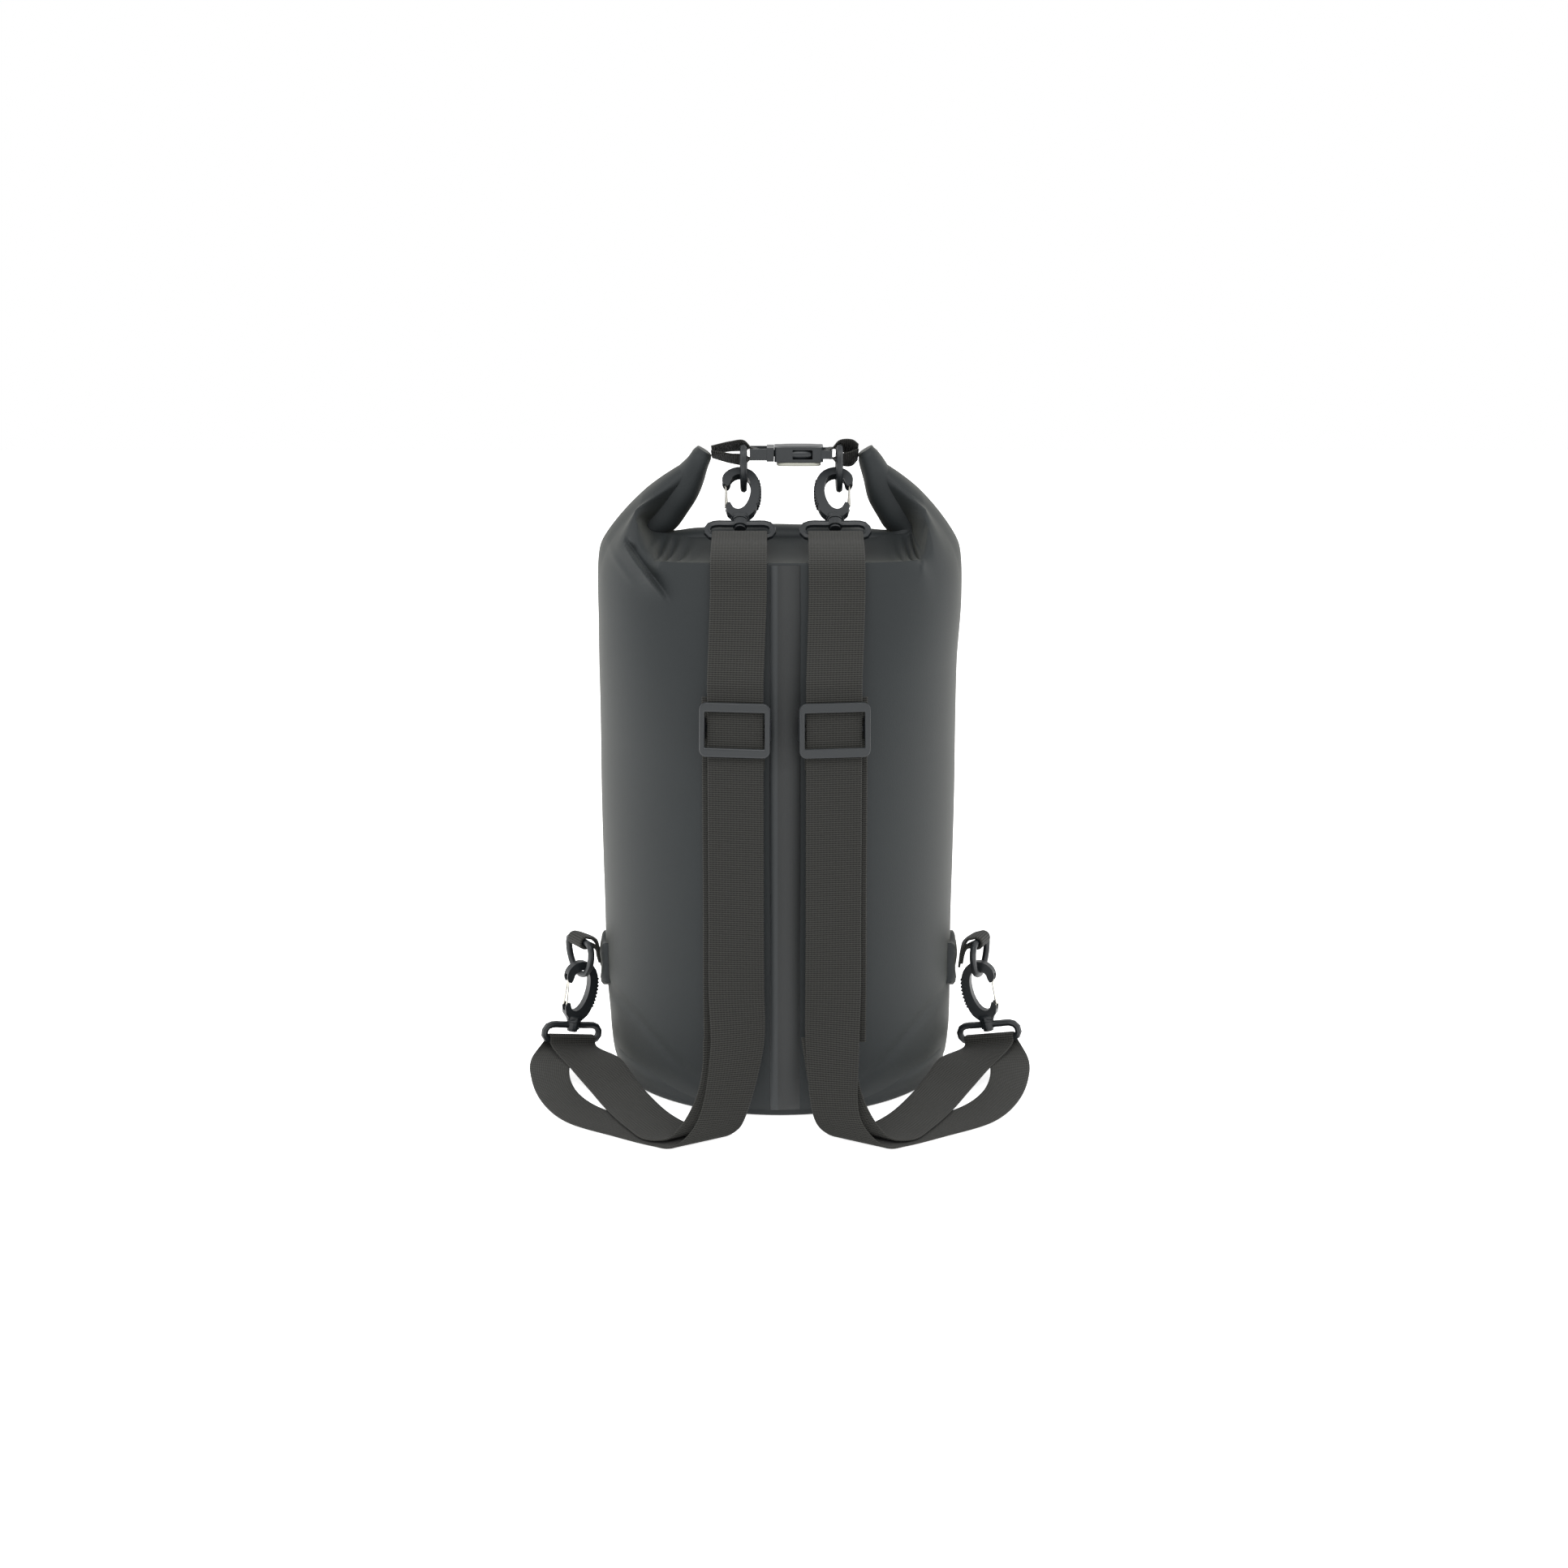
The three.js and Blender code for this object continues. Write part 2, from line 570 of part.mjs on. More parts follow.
// Where the lower hook's swivel is: the hook hangs from the bow of the side
// ring, turned about Z and leaning in towards the bag.
function lowerPlace(side) {
  const place = new THREE.Group();
  place.rotation.set(0, -side.hand * LOWER_LEAN, THREE.MathUtils.degToRad(side.side_turn), 'ZYX');
  const eye = new THREE.Vector3(side.hand * 1, 0, HOOK_REACH).applyEuler(place.rotation);
  place.position.set(side.anchor_x, ANCHOR.y - 4, ANCHOR_RING_Z - RING_DEPTH).sub(eye);
  place.updateMatrixWorld(true);
  return place;
}

// Lower stretch, given edge by edge: forward to the floor, under and back
// along it, up behind the lower loop, over its bar and forward again.
function lowerEdges(side) {
  const barZ = -2 * LOOP_HALF_HEIGHT;
  const r = LOOP_WRAP;
  const place = lowerPlace(side);
  const out = (u, n, z) => place.localToWorld(new THREE.Vector3(side.hand * u, n, z));
  const p = (x, y, z) => new THREE.Vector3(side.hand * x, y, z);
  const outerEdge = [
    p(54.5, -166, 17), p(64, -178, 6), p(74, -183.5, 1.6), p(86, -178, 0.9), p(113, -161, 0.9),
    p(148, -135, 0.9), p(168, -101, 1.4), p(181, -64, 5), p(184, -36, 11),
    out(19, r + 0.8, barZ - 1.5), out(19, r * 0.72, barZ + r * 0.72), out(19, 0, barZ + r),
    out(19, -r * 0.72, barZ + r * 0.72), out(19, -r - 0.8, barZ - 1.5),
    p(152, -62, 13), p(139, -88, 7.5), p(125, -118, 4), p(106, -153, 3.1), p(91, -172, 3),
    p(76, -176.5, 5.2), p(68, -169.5, 10.5), p(61.5, -160.5, 18), p(56, -151, 29), p(53, -141.5, 44),
  ];
  const innerEdge = [
    p(23, -151, 12), p(28, -158, 5), p(36, -161, 1.6), p(48, -154, 1), p(78, -139, 1),
    p(120, -114, 1.2), p(139, -89, 3.2), p(147, -68, 7), p(148, -50, 11),
    out(-19, r + 0.8, barZ - 1.5), out(-19, r * 0.72, barZ + r * 0.72), out(-19, 0, barZ + r),
    out(-19, -r * 0.72, barZ + r * 0.72), out(-19, -r - 0.8, barZ - 1.5),
    p(117, -51, 18), p(108, -77, 13), p(96, -106, 11), p(76, -137, 6.5), p(58, -151, 4.6),
    p(41, -154, 5), p(32, -152, 10), p(25.5, -147.5, 18), p(20, -142, 31), p(17, -136.5, 48),
  ];
  return [outerEdge, innerEdge];
}

function shoulderStrap(side) {
  const [upperOut, upperIn] = strapEdges(side, upperRows(side));
  const [lowOut, lowIn] = lowerEdges(side);
  return band([...upperOut, ...lowOut], [...upperIn, ...lowIn], WEBBING, 120);
}

// The second layer, behind the main one, from the floor turn to the slider.
function strapReturn(side) {
  const x = side.low_x + side.hand * 4;
  const back = 9.4;
  const rows = [
    [x, onStraight(SLIDER_Z + 20) + back, SLIDER_Z + 20, STRAP_TILT],
    [x, onStraight(200) + back, 200, STRAP_TILT],
    [x, onStraight(150) + back - 0.6, 150, STRAP_TILT],
    [x, -129.5, 100, 0.03],
    [x - side.hand * 0.3, -135.2, 60, -0.08],
  ];
  const [out, inside] = strapEdges(side, rows);
  return band(out, inside, WEBBING, 12);
}

// ---- strap slider -------------------------------------------------------
// Frame in the X-Z plane with the main webbing passing at Y = 0. The end bars
// lie in front of it (-Y) and the middle bar lies behind it.
function sliderFrame() {
  const { width, height, sideBar, endBar, depth, middle } = SLIDER;
  const front = -(WEBBING / 2 + GAP + depth);
  const middleY = WEBBING / 2 + GAP + WEBBING + GAP + middle / 2;
  const shape = new THREE.Shape();
  const r = 5;
  const w = width / 2 - r;
  const h = height / 2 - r;
  shape.absarc(w, h, r, 0, Math.PI / 2);
  shape.absarc(-w, h, r, Math.PI / 2, Math.PI);
  shape.absarc(-w, -h, r, Math.PI, Math.PI * 1.5);
  shape.absarc(w, -h, r, Math.PI * 1.5, Math.PI * 2);
  const face = new THREE.ExtrudeGeometry(shape, {
    depth, bevelEnabled: false, curveSegments: 4,
  });
  face.rotateX(Math.PI / 2).translate(0, front + depth, 0);
  const window = box(width - 2 * sideBar, 20, height - 2 * endBar);
  const cheeks = [-1, 1].map((s) => box(
    sideBar, middleY + middle / 2 - front - 1, 15, s * (width - sideBar) / 2,
    (front + 1 + middleY + middle / 2) / 2, 0,
  ));
  const middleBar = box(width - 2 * sideBar + 1, middle, 4.6, 0, middleY, 0);
  return join(cut(face, window), ...cheeks, middleBar);
}

// The strap's own end, sewn back on itself round the slider's middle bar.
function strapEnd() {
  const middleY = WEBBING / 2 + GAP + WEBBING + GAP + SLIDER.middle / 2;
  const r = SLIDER.middle / 2 + GAP + WEBBING / 2;
  const rows = [
    [middleY - r, -5], [middleY - r, 2.4], [middleY - r * 0.5, 3.6], [middleY + r * 0.5, 3.6],
    [middleY + r, 2.4], [middleY + r, -8], [middleY + r, -28],
  ];
  const edge = (x) => rows.map(([y, z]) => new THREE.Vector3(x, y, z));
  return band(edge(-STRAP_WIDTH / 2), edge(STRAP_WIDTH / 2), WEBBING, 22);
}

// ---- side anchors -------------------------------------------------------
// Patch welded to the round wall, bent to the wall's curve.
function sidePatch(side) {
  const rows = [-1, -0.5, 0, 0.5, 1].map((t) => {
    const y = ANCHOR.y + (t * ANCHOR.width) / 2;
    const x = Math.sqrt(130.6 ** 2 - y ** 2) - 0.6;
    return [x, y];
  });
  const edge = (z) => rows.map(([x, y]) => new THREE.Vector3(side.hand * x, y, z));
  return band(edge(ANCHOR.z - ANCHOR.height / 2), edge(ANCHOR.z + ANCHOR.height / 2), 1.6, 8);
}

// Short webbing tab: up the patch, out over the ring's bar and back to it.
function sideTab(side) {
  const turn = THREE.MathUtils.degToRad(side.side_turn);
  const r = LOOP_WRAP;
  const reach = (Math.abs(side.anchor_x) - 131.7) / Math.cos(turn);
  const barZ = ANCHOR_RING_Z;
  const rows = [
    [1.3, 79], [1.4, 84], [3.4, 90], [reach - r * 1.5, barZ + 0.5],
    [reach - r * 0.72, barZ + r * 0.72], [reach, barZ + r], [reach + r * 0.72, barZ + r * 0.72],
    [reach + r, barZ], [reach + r * 0.72, barZ - r * 0.72], [reach + 0.4, barZ - r],
  ];
  const edge = (u) => rows.map(([n, z]) => {
    const bend = turn * (n < 4 ? 0.3 : 1);
    const inward = side.hand * (n - reach);
    return new THREE.Vector3(
      side.anchor_x + inward * Math.cos(turn) - u * Math.sin(bend),
      ANCHOR.y - 4 + inward * Math.sin(turn) + u * Math.cos(bend),
      z,
    );
  });
  return band(edge(-10), edge(10), WEBBING, 26);
}

// ---- assembly -----------------------------------------------------------
add(bag, 'base_panel', basePanel(), 'fabric');
add(bag, 'bag_tube', bagTube(), 'fabric');
add(bag, 'seam_tape', seamTape(), 'tape');
add(bag, 'closure_roll', closureRoll(), 'fabric');
add(bag, 'mouth_stiffener', mouthStiffener(), 'stiffener');
add(bag, 'buckle_socket', buckleSocket(), 'plastic');
add(bag, 'buckle_socket_underside', socketUnderside(), 'pale_plastic');
add(bag, 'buckle_plug', bucklePlug(), 'plastic');
add(bag, 'buckle_prong_front', buckleProng(-1), 'plastic');
add(bag, 'buckle_prong_rear', buckleProng(1), 'plastic');

for (const side of SIDES) {
  add(bag, `closure_webbing_${side.name}`, closureWebbing(side), 'webbing');

  const topRing = add(bag, `top_d_ring_${side.name}`, dRing(), 'plastic');
  topRing.position.set(side.ring_x, 0, HANDLE_HEIGHT + 0.4);
  topRing.rotation.x = -RING_TILT;

  const topSet = new THREE.Group();
  topSet.position.set(side.top_x, TOP_LOOP.y, TOP_LOOP.z);
  topSet.rotation.x = -TOP_LOOP.lean;
  bag.add(topSet);
  hookSet(topSet, 'top', side, side.hand > 0);

  const lowerSet = lowerPlace(side);
  bag.add(lowerSet);
  hookSet(lowerSet, 'lower', side, side.hand > 0);

  const sideRing = add(bag, `side_d_ring_${side.name}`, dRing(), 'plastic');
  sideRing.position.set(side.anchor_x, ANCHOR.y - 4, ANCHOR_RING_Z);
  sideRing.rotation.z = THREE.MathUtils.degToRad(side.side_turn);
  add(bag, `side_patch_${side.name}`, sidePatch(side), 'fabric');
  add(bag, `side_tab_${side.name}`, sideTab(side), 'webbing');

  add(bag, `shoulder_strap_${side.name}`, shoulderStrap(side), 'webbing');
  add(bag, `strap_return_${side.name}`, strapReturn(side), 'webbing');

  const lean = Math.atan2(STRAIGHT_TOP.y - STRAIGHT_END.y, STRAIGHT_TOP.z - STRAIGHT_END.z);
  const sliderPlace = new THREE.Group();
  sliderPlace.position.set(side.low_x, onStraight(SLIDER_Z), SLIDER_Z);
  sliderPlace.rotation.set(-lean, 0, side.hand * STRAP_TILT, 'ZXY');
  bag.add(sliderPlace);
  add(sliderPlace, `slider_${side.name}`, sliderFrame(), 'plastic');
  add(sliderPlace, `strap_end_${side.name}`, strapEnd(), 'webbing');
}

export default bag;
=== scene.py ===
import math

import bmesh
import bpy
import numpy as np
from mathutils import Matrix, Vector


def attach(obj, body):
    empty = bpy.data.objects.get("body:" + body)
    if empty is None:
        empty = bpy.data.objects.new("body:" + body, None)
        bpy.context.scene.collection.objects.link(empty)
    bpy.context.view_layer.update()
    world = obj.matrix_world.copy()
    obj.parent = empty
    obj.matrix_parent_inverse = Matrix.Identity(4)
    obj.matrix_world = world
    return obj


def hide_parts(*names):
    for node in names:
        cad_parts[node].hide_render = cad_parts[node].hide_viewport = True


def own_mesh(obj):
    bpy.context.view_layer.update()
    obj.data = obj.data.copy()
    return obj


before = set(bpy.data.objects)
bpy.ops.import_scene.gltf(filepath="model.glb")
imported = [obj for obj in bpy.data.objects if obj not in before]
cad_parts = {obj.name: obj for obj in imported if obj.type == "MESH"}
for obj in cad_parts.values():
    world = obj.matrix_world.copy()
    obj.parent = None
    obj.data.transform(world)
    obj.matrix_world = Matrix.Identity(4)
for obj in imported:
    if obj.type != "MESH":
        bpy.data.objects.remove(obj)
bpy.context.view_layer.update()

# ---- camera, floor and light --------------------------------------------
# A white studio sweep with large soft boxes: one above and in front, and two
# tall ones beside the bag that draw pale lines down its round sides. The
# paper glows a little and throws no diffuse light back on to the bag.
MM = 0.001


def linear(hex_colour, alpha=1.0):
    """An sRGB hex colour as linear RGBA."""
    parts = [int(hex_colour[i:i + 2], 16) / 255 for i in (1, 3, 5)]
    return [p / 12.92 if p <= 0.04045 else ((p + 0.055) / 1.055) ** 2.4 for p in parts] + [alpha]


def node(tree, kind, links=(), **settings):
    """Adds a shader node. Settings are attributes or input values; links are (input, socket)."""
    n = tree.nodes.new(kind)
    for key, value in settings.items():
        if key in n.bl_rna.properties:
            setattr(n, key, value)
        else:
            n.inputs[key.replace("_", " ")].default_value = value
    for name, socket in links:
        tree.links.new(socket, n.inputs[name])
    return n


def material(name, **shader):
    """A material holding one Principled shader; returns it with its tree and shader node."""
    made = bpy.data.materials.new(name)
    made.use_nodes = True
    tree = made.node_tree
    bsdf = next(n for n in tree.nodes if n.type == "BSDF_PRINCIPLED")
    for key, value in shader.items():
        bsdf.inputs[key.replace("_", " ")].default_value = value
    return made, tree, bsdf


def mesh_piece(name, points, faces, finish, body="root", uv=None):
    """A mesh object from points in millimetres. uv is one (u, v) per point, in millimetres."""
    data = bpy.data.meshes.new(name)
    data.from_pydata([tuple(np.asarray(p, float) * MM) for p in points], [], [tuple(f) for f in faces])
    if uv is not None:
        layer = data.uv_layers.new(name="run")
        corner = np.array([loop.vertex_index for loop in data.loops])
        layer.data.foreach_set("uv", np.asarray(uv, np.float32)[corner].ravel())
    data.materials.append(finish)
    data.polygons.foreach_set("use_smooth", [True] * len(data.polygons))
    data.update()
    piece = bpy.data.objects.new(name, data)
    bpy.context.scene.collection.objects.link(piece)
    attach(piece, body)
    return piece


camera_data = bpy.data.cameras.new("camera")
camera_data.lens = 50
camera = bpy.data.objects.new("camera", camera_data)
camera.location = (0.003, -1.554, 0.569)
camera.rotation_euler = (math.radians(77), 0, 0)
bpy.context.scene.collection.objects.link(camera)
bpy.context.scene.camera = camera

bpy.context.scene.view_settings.view_transform = "Standard"

white_paper, _, paper_bsdf = material("matt_white_paper", Base_Color=linear("#fdfdfc"), Roughness=0.9)
paper_bsdf.inputs["Emission Color"].default_value = linear("#ffffff")
paper_bsdf.inputs["Emission Strength"].default_value = 0.8
FLOOR_REACH = 6000
floor_points = [(x * FLOOR_REACH, y * FLOOR_REACH, -0.4) for x, y in ((-1, -1), (1, -1), (1, 1), (-1, 1))]
floor = mesh_piece("floor", floor_points, [(0, 1, 2, 3)], white_paper)
floor.parent = None
floor.visible_diffuse = False

world = bpy.data.worlds.new("studio")
world.use_nodes = True
sky = world.node_tree
sky.nodes["Background"].inputs["Color"].default_value = linear("#ffffff")
# the light from below is weaker than the light from the sides and above
direction = node(sky, "ShaderNodeTexCoord").outputs["Generated"]
height = node(sky, "ShaderNodeSeparateXYZ", [("Vector", direction)]).outputs["Z"]
level = node(sky, "ShaderNodeMapRange", [("Value", height)],
             From_Min=-0.5, From_Max=-0.12, To_Min=0.45, To_Max=1.0)
sky.links.new(level.outputs["Result"], sky.nodes["Background"].inputs["Strength"])
bpy.context.scene.world = world


def soft_box(name, place, target, size, power):
    """A rectangular area lamp that faces the target."""
    data = bpy.data.lights.new(name, "AREA")
    data.shape = "RECTANGLE"
    data.size, data.size_y = size
    data.energy = power
    lamp = bpy.data.objects.new(name, data)
    lamp.location = place
    lamp.rotation_euler = (Vector(target) - Vector(place)).to_track_quat("-Z", "Y").to_euler()
    bpy.context.scene.collection.objects.link(lamp)


soft_box("key", (-0.1, -1.5, 2.1), (0, 0, 0.3), (1.6, 1.0), 22)
soft_box("left_strip", (-1.5, 0.15, 0.6), (0, 0, 0.22), (0.5, 1.5), 7.5)
soft_box("right_strip", (1.5, 0.15, 0.6), (0, 0, 0.22), (0.5, 1.5), 7)

# ---- coated fabric of the bag ---------------------------------------------
# Woven polyester, 0.5 mm thick, coated on the outside with a matt dark
# blue-grey film: an even colour with a faint grain and a soft sheen that
# turns warmer and paler at a grazing angle.
coated_fabric, tree, bsdf = material("pvc_coated_woven_polyester", Roughness=0.62)
bsdf.inputs["Specular IOR Level"].default_value = 0.35
bsdf.inputs["Sheen Weight"].default_value = 0.18
bsdf.inputs["Sheen Roughness"].default_value = 0.45
bsdf.inputs["Sheen Tint"].default_value = linear("#a6a594")
place = node(tree, "ShaderNodeTexCoord").outputs["Object"]
# cloud: a slow change of tone, 90 mm across; grain: the weave under the film, about
# 0.5 mm in the cloth and drawn at 0.9 mm so that it shows
cloud = node(tree, "ShaderNodeTexNoise", [("Vector", place)], Scale=11.0, Detail=2.0)
tone = node(tree, "ShaderNodeMix", [("Factor", cloud.outputs[0])], data_type="RGBA")
tone.inputs["A"].default_value = linear("#1d2123")
tone.inputs["B"].default_value = linear("#222729")
tree.links.new(tone.outputs["Result"], bsdf.inputs["Base Color"])
grain = node(tree, "ShaderNodeTexNoise", [("Vector", place)], Scale=1100.0, Detail=1.0)
relief = node(tree, "ShaderNodeBump", [("Height", grain.outputs[0])], Strength=0.12, Distance=0.0004)
tree.links.new(relief.outputs["Normal"], bsdf.inputs["Normal"])

# ---- bag shell -----------------------------------------------------------
# One welded tube of coated fabric, 257 mm across and 385 mm tall to its fold.
# Its wall folds in over the top edge at front and back, and rises at both
# sides as the gussets that run up to the tips of the rolled mouth.
FOLD_HEIGHT = 384.5
WALL_ROWS = [  # height, half width, half depth, squareness of the outline
    (3, 121.5, 121.5, 2), (8, 124, 124, 2), (16, 125.2, 125.2, 2), (28, 126.3, 126, 2),
    (70, 127.6, 126.2, 2.02), (150, 128.5, 125.5, 2.05), (250, 128.6, 122, 2.2),
    (310, 128.8, 114.5, 2.5), (350, 129.4, 105, 2.75), (370, 129.2, 99.4, 2.95),
    (FOLD_HEIGHT, 128.2, 95.4, 3.0),
]
EAR_LINE = [  # the mouth line from the ear's tip down to the middle: X, Z of the left side
    (-53.5, 452.0), (-60.5, 440), (-72, 425.5), (-84, 411), (-93, 400), (-72, 394), (-30, 394), (0, 394),
]
EAR_SHIFT = 7  # the right ear's tip stands this much further out
COLUMNS = 480
WALL_STEPS = 100
EDGE_STEPS = 50
TOP_STEPS = 44
MOUTH_STEPS = 400
EDGE_START = 341  # the height where the wall starts to rise to the gussets
RELAX_ROUNDS = 260
FOLDS = {  # where the gusset laps over the front: X, Z up the wall, and how far it stands out
    -1: ([(-73, 354), (-77, 361), (-86, 372), (-96, 383), (-106, 395)], 6.5),
    1: ([(96, 374), (97, 384), (99, 393), (102, 406)], 4.5),
}


def smooth(x, low=0.0, high=1.0):
    """0 below low, 1 above high and a smooth rise between."""
    t = np.clip((np.asarray(x, float) - low) / (high - low), 0, 1)
    return t * t * (3 - 2 * t)


def grid_faces(rows, columns, wrap=False, offset=0):
    """Quads of a grid of points stored row by row; wrap joins its last column to its first."""
    last = columns if wrap else columns - 1
    return [
        (offset + i * columns + j, offset + i * columns + (j + 1) % columns,
         offset + (i + 1) * columns + (j + 1) % columns, offset + (i + 1) * columns + j)
        for i in range(rows - 1) for j in range(last)
    ]


def facing_out(piece):
    """Recalculates the normals of a closed mesh outwards."""
    work = bmesh.new()
    work.from_mesh(piece.data)
    bmesh.ops.recalc_face_normals(work, faces=work.faces)
    work.to_mesh(piece.data)
    work.free()
    return piece


def spline(points, count):
    """count points, evenly spread in parameter, on a centripetal curve through the points."""
    p = np.asarray(points, float)
    p = np.vstack([2 * p[0] - p[1], p, 2 * p[-1] - p[-2]])
    out = []
    for t in np.linspace(0, len(p) - 3, count):
        i = min(int(t), len(p) - 4)
        w = t - i
        q = p[i:i + 4]
        d = np.maximum(np.linalg.norm(np.diff(q, axis=0), axis=1) ** 0.5, 1e-6)
        m1 = ((q[1] - q[0]) / d[0] - (q[2] - q[0]) / (d[0] + d[1]) + (q[2] - q[1]) / d[1]) * d[1]
        m2 = ((q[2] - q[1]) / d[1] - (q[3] - q[1]) / (d[1] + d[2]) + (q[3] - q[2]) / d[2]) * d[1]
        out.append(
            (2 * w**3 - 3 * w**2 + 1) * q[1] + (w**3 - 2 * w**2 + w) * m1
            + (-2 * w**3 + 3 * w**2) * q[2] + (w**3 - w**2) * m2
        )
    return np.array(out)


def wall_outline(z):
    """Half width, half depth and squareness of the wall at a height."""
    table = np.array(WALL_ROWS, float)
    return [np.interp(z, table[:, 0], table[:, k]) for k in (1, 2, 3)]


angles = np.linspace(0, 2 * math.pi, COLUMNS, endpoint=False)  # from -X (0) through -Y, the front, to +X
front = np.where(angles <= math.pi, 1.0, -1.0)
s = 2 * np.where(angles <= math.pi, angles, 2 * math.pi - angles) / math.pi - 1  # -1 left, 1 right
corner = np.where(s < 0, 0.36, 0.46)  # where the front fold ends and the gusset begins
gusset = smooth(np.abs(s), corner - 0.03, corner + 0.11)
edge_z = FOLD_HEIGHT + 4.5 * smooth(np.abs(s), 0.7, 0.95)
heights = np.concatenate([
    np.linspace(WALL_ROWS[0][0], EDGE_START - 1, WALL_STEPS),
    np.linspace(EDGE_START, FOLD_HEIGHT, EDGE_STEPS),
])
rows = []
for z in heights:
    a, b, n = wall_outline(z)
    c, d = -np.cos(angles), -np.sin(angles)
    x = a * np.sign(c) * np.abs(c) ** (2 / n)
    y = b * np.sign(d) * np.abs(d) ** (2 / n)
    climb = (edge_z - EDGE_START) / (FOLD_HEIGHT - EDGE_START)
    level = np.where(z > EDGE_START, EDGE_START + (z - EDGE_START) * climb, z)
    # slow dents of the hanging cloth
    wave = 0.55 * np.sin(3 * angles + z / 61) * np.sin(z / 47 + 1.3 * np.cos(angles))
    wave = wave * smooth(z, 24, 80) * (1 - smooth(z, 340, 380))
    # slack crease that climbs from the base rim towards each side of the front
    crease = 20 + 46 * smooth(np.abs(x), 45, 124)
    slack = smooth(np.abs(x), 38, 70) * smooth(-y, 2, 45)
    wave = wave - 1.2 * np.exp(-((z - crease) / 4.5) ** 2) * slack
    wave = wave - 0.055 * np.clip(crease - z, 0, 40) * slack
    scale = 1 + wave / np.hypot(x, y)
    # from 85 to 300 mm up, the wall stands 1.3 mm further left than at the base and the top
    x = x - 1.3 * smooth(z, 30, 85) * (1 - smooth(z, 300, 350))
    rows.append(np.stack([x * scale, y * scale, level], axis=1))
edge = rows[-1].copy()
index = np.round((1 - np.abs(s)) * (MOUTH_STEPS - 1)).astype(int)
mouth = spline([(x, 0, z) for x, z in EAR_LINE], MOUTH_STEPS)[index]
mouth[:, 0] = np.where(s > 0, -mouth[:, 0] + EAR_SHIFT * smooth(mouth[:, 2], 396, 452), mouth[:, 0])
round_end = np.sqrt(1 - np.clip((np.abs(s) - 0.9) / 0.1, 0, 1) ** 2)
mouth[:, 1] = -front * (13.5 - 4.5 * smooth(np.abs(s), 0.75, 1)) * round_end
outward = np.stack([edge[:, 0] * 0.6, edge[:, 1], np.zeros(COLUMNS)], axis=1)
outward /= np.linalg.norm(outward, axis=1)[:, None]
for k in range(1, TOP_STEPS + 1):
    t = k / TOP_STEPS
    p = edge + (mouth - edge) * t
    bulge = math.sin(math.pi * t)
    # the front folds sharply in and sags to the roll; each gusset bows out like a cone
    cone = gusset * (4 + 9 * (1 - smooth(np.abs(s), 0.6, 0.85)))
    p[:, 2] += bulge * (-6.0 * (1 - gusset) + cone)
    p += outward * (bulge * gusset * 6.0)[:, None]
    # pleats gathered behind each gusset's fold
    gather = np.exp(-((np.abs(s) - corner + 0.05) / 0.06) ** 2) * bulge
    pleat = np.sin(np.abs(s) * 150 + 5 * t) * gather
    p[:, 2] += 3.0 * pleat
    p[:, 1] += 1.6 * pleat * front
    rows.append(p)
grid = np.array(rows)
# the cloth turns softly from wall to gusset, so the rows near the edge are relaxed there
ease = gusset * (1 - 0.93 * smooth(np.abs(s), 0.84, 1.0))
low, high = WALL_STEPS + 8, WALL_STEPS + EDGE_STEPS + 22
for _ in range(RELAX_ROUNDS):
    middle = (grid[low - 1:high - 1] + grid[low + 1:high + 1]) / 2
    grid[low:high] += (middle - grid[low:high]) * (0.9 * ease)[None, :, None]
# the lapped fold of each gusset: cloth outside the line stands out, cloth inside it is tucked in
for hand, (line, stand_out) in FOLDS.items():
    path = spline([(x, 0, z) for x, z in line], 60)
    up = grid[..., 2]
    off = (grid[..., 0] - np.interp(up, path[:, 2], path[:, 0])) * hand  # mm outside the line
    along = smooth(up, path[0, 2], path[0, 2] + 22) * (1 - smooth(up, path[-1, 2] - 6, path[-1, 2] + 4))
    outside = np.exp(-off / 13) * smooth(off, 0, 1.2)
    inside = -1.1 * np.exp(off / 8) * smooth(-off, 0, 1.2)
    lift = np.where(off > 0, outside, inside)
    grid[..., 1] -= stand_out * lift * along * (grid[..., 1] < -20) * (np.abs(off) < 50)
    # a second, weaker ridge runs beside the left fold
    ridge = np.exp(-((off - 17) / 3.5) ** 2) * smooth(up, 362, 384) * (grid[..., 1] < -20)
    grid[..., 1] -= 1.1 * ridge * (hand < 0)
shell = mesh_piece("bag_shell", grid.reshape(-1, 3), grid_faces(len(grid), COLUMNS, wrap=True), coated_fabric)
facing_out(shell)
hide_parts("bag_tube")

# ---- base panel ----------------------------------------------------------
# A disc of the same fabric, 247 mm across, welded in with its rim turned up
# 20 mm inside the tube, so that the bag stands on a rounded edge.
BASE_STEPS = 160
BASE_PROFILE = [  # radius, height, from the middle to the rim's upper edge
    (0, 0.8), (60, 0.4), (110, 0), (118, 0), (121.6, 0.5),
    (122.6, 1.8), (122.2, 3.6), (123.0, 8), (123.6, 19), (123.2, 20),
]
base_turns = np.linspace(0, 2 * math.pi, BASE_STEPS, endpoint=False)
base_points = [(r * math.cos(a), r * math.sin(a), z) for r, z in BASE_PROFILE for a in base_turns]
base_faces = grid_faces(len(BASE_PROFILE), BASE_STEPS, wrap=True)
base = mesh_piece("bag_base", base_points, base_faces, coated_fabric)
facing_out(base)
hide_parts("base_panel")

